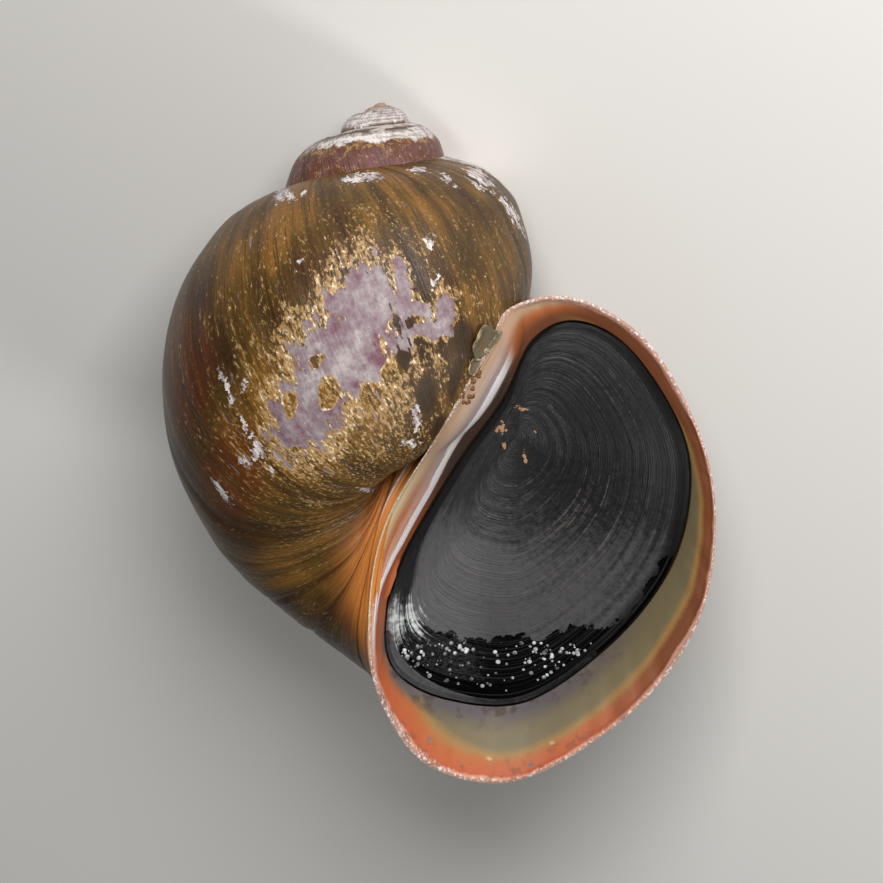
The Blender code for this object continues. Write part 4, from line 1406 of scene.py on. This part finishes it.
class SNAIL_OT_make_flakes(bpy.types.Operator):
    """Lay the curled flakes and the crumbs beside the inner lip"""

    bl_idname = "snail.make_flakes"
    bl_label = "Make the flakes"

    def execute(self, context):
        settings = context.scene.snail_flake
        tree = skin_in_front(bpy.data.objects["shell_skin"])
        pieces = [add_flake(tree, settings, spot, 31 + k) for k, spot in enumerate(FLAKES)]
        random = np.random.default_rng(19)
        for _ in range(settings.crumbs):
            share = random.uniform(0.0, 1.0)
            x, z = (a + (b - a) * share for a, b in zip(*CRUMB_LINE))
            place, facing = on_skin(tree, x + random.normal(0.0, 0.5), z + random.normal(0.0, 0.4))
            pieces.append(add_lump(place, facing, random.uniform(0.12, 0.34), 0.5, 0.45, random))
        obj = join_pieces("slime_flakes", pieces)
        finish_piece(obj, (make_film_material(settings),), "shell")
        return {"FINISHED"}


# The stage


class StageSettings(bpy.types.PropertyGroup):
    """Floor, lights and surroundings."""

    floor_colour: colour_setting("Floor", "Colour of the floor", "#e6e3de")
    key_power: bpy.props.FloatProperty(
        name="Key light", description="Power of the main light", default=3.2, unit="POWER")
    fill_power: bpy.props.FloatProperty(
        name="Fill light", description="Power of the fill light", default=1.1, unit="POWER")
    surroundings: bpy.props.FloatProperty(
        name="Surroundings", description="Strength of the even light", default=0.09)


def make_floor(settings):
    """Lay a pale, plain floor."""
    deselect_all()
    bpy.ops.mesh.primitive_plane_add(size=4.0, location=(0.0, 0.0, 0.0))
    floor = bpy.context.object
    floor.name = "floor"
    material, _, shader = new_material("matt_card")
    shader.inputs["Base Color"].default_value = (*settings.floor_colour, 1.0)
    shader.inputs["Roughness"].default_value = 0.9
    floor.data.materials.append(material)


def add_light(name, toward, distance, size, power):
    """Hang a soft square light in a direction of the shell's frame, facing the shell."""
    target = Vector(to_frame(LIT_PLACE))
    direction = Vector(TURN @ np.array(toward)).normalized()
    light = bpy.data.lights.new(name, "AREA")
    light.energy = power
    light.size = size
    lamp = bpy.data.objects.new(name, light)
    lamp.location = target + direction * distance
    lamp.rotation_euler = direction.to_track_quat("Z", "Y").to_euler()
    bpy.context.scene.collection.objects.link(lamp)


def add_camera():
    """Set the camera where the photograph was taken from."""
    data = bpy.data.cameras.new("camera")
    data.lens = CAMERA_LENS
    data.sensor_width = SENSOR
    data.clip_start = 0.05
    camera = bpy.data.objects.new("camera", data)
    axes = Matrix((TURN @ (1.0, 0.0, 0.0), TURN @ (0.0, 0.0, 1.0), TURN @ (0.0, -1.0, 0.0)))
    camera.matrix_world = Matrix.Translation(to_frame(CAMERA_PLACE)) @ axes.transposed().to_4x4()
    bpy.context.scene.collection.objects.link(camera)
    bpy.context.scene.camera = camera


class SNAIL_OT_make_stage(bpy.types.Operator):
    """Lay the floor, hang the lights and set the camera"""

    bl_idname = "snail.make_stage"
    bl_label = "Make the stage"

    def execute(self, context):
        settings = context.scene.snail_stage
        make_floor(settings)
        add_light("key", *KEY_LIGHT, settings.key_power)
        add_light("fill", *FILL_LIGHT, settings.fill_power)
        world = bpy.data.worlds.new("studio")
        world.use_nodes = True
        world.node_tree.nodes["Background"].inputs["Strength"].default_value = settings.surroundings
        world.node_tree.nodes["Background"].inputs["Color"].default_value = (1.0, 1.0, 1.0, 1.0)
        context.scene.world = world
        context.scene.view_settings.view_transform = "Standard"
        add_camera()
        return {"FINISHED"}


class SNAIL_PT_panel(bpy.types.Panel):
    """Buttons for each piece"""

    bl_idname = "SNAIL_PT_panel"
    bl_label = "Snail shell"
    bl_space_type = "VIEW_3D"
    bl_region_type = "UI"
    bl_category = "Snail shell"

    def draw(self, context):
        for operator in OPERATORS:
            self.layout.operator(operator.bl_idname)
        for group in GROUPS:
            self.layout.label(text=group.__doc__)
            settings = getattr(context.scene, group_name(group))
            for name in group.__annotations__:
                self.layout.prop(settings, name)


GROUPS = (ShellSettings, LipSettings, OperculumSettings, DropSettings, FlakeSettings, StageSettings)
OPERATORS = (SNAIL_OT_make_shell, SNAIL_OT_make_operculum, SNAIL_OT_make_drops,
             SNAIL_OT_make_flakes, SNAIL_OT_make_stage)


def group_name(group):
    """Name the scene's property that holds a group of settings."""
    return "snail_" + group.__name__.removesuffix("Settings").lower()


def register():
    """Add the settings, operators and panel to Blender."""
    for item in (*GROUPS, *OPERATORS, SNAIL_PT_panel):
        bpy.utils.register_class(item)
    for group in GROUPS:
        setattr(bpy.types.Scene, group_name(group), bpy.props.PointerProperty(type=group))


def unregister():
    """Take them out again."""
    for group in GROUPS:
        delattr(bpy.types.Scene, group_name(group))
    for item in reversed((*GROUPS, *OPERATORS, SNAIL_PT_panel)):
        bpy.utils.unregister_class(item)


def main():
    """Build every piece and the stage."""
    register()
    bpy.ops.snail.make_shell()
    bpy.ops.snail.make_operculum()
    bpy.ops.snail.make_drops()
    bpy.ops.snail.make_flakes()
    bpy.ops.snail.make_stage()


if __name__ == "__main__":
    main()
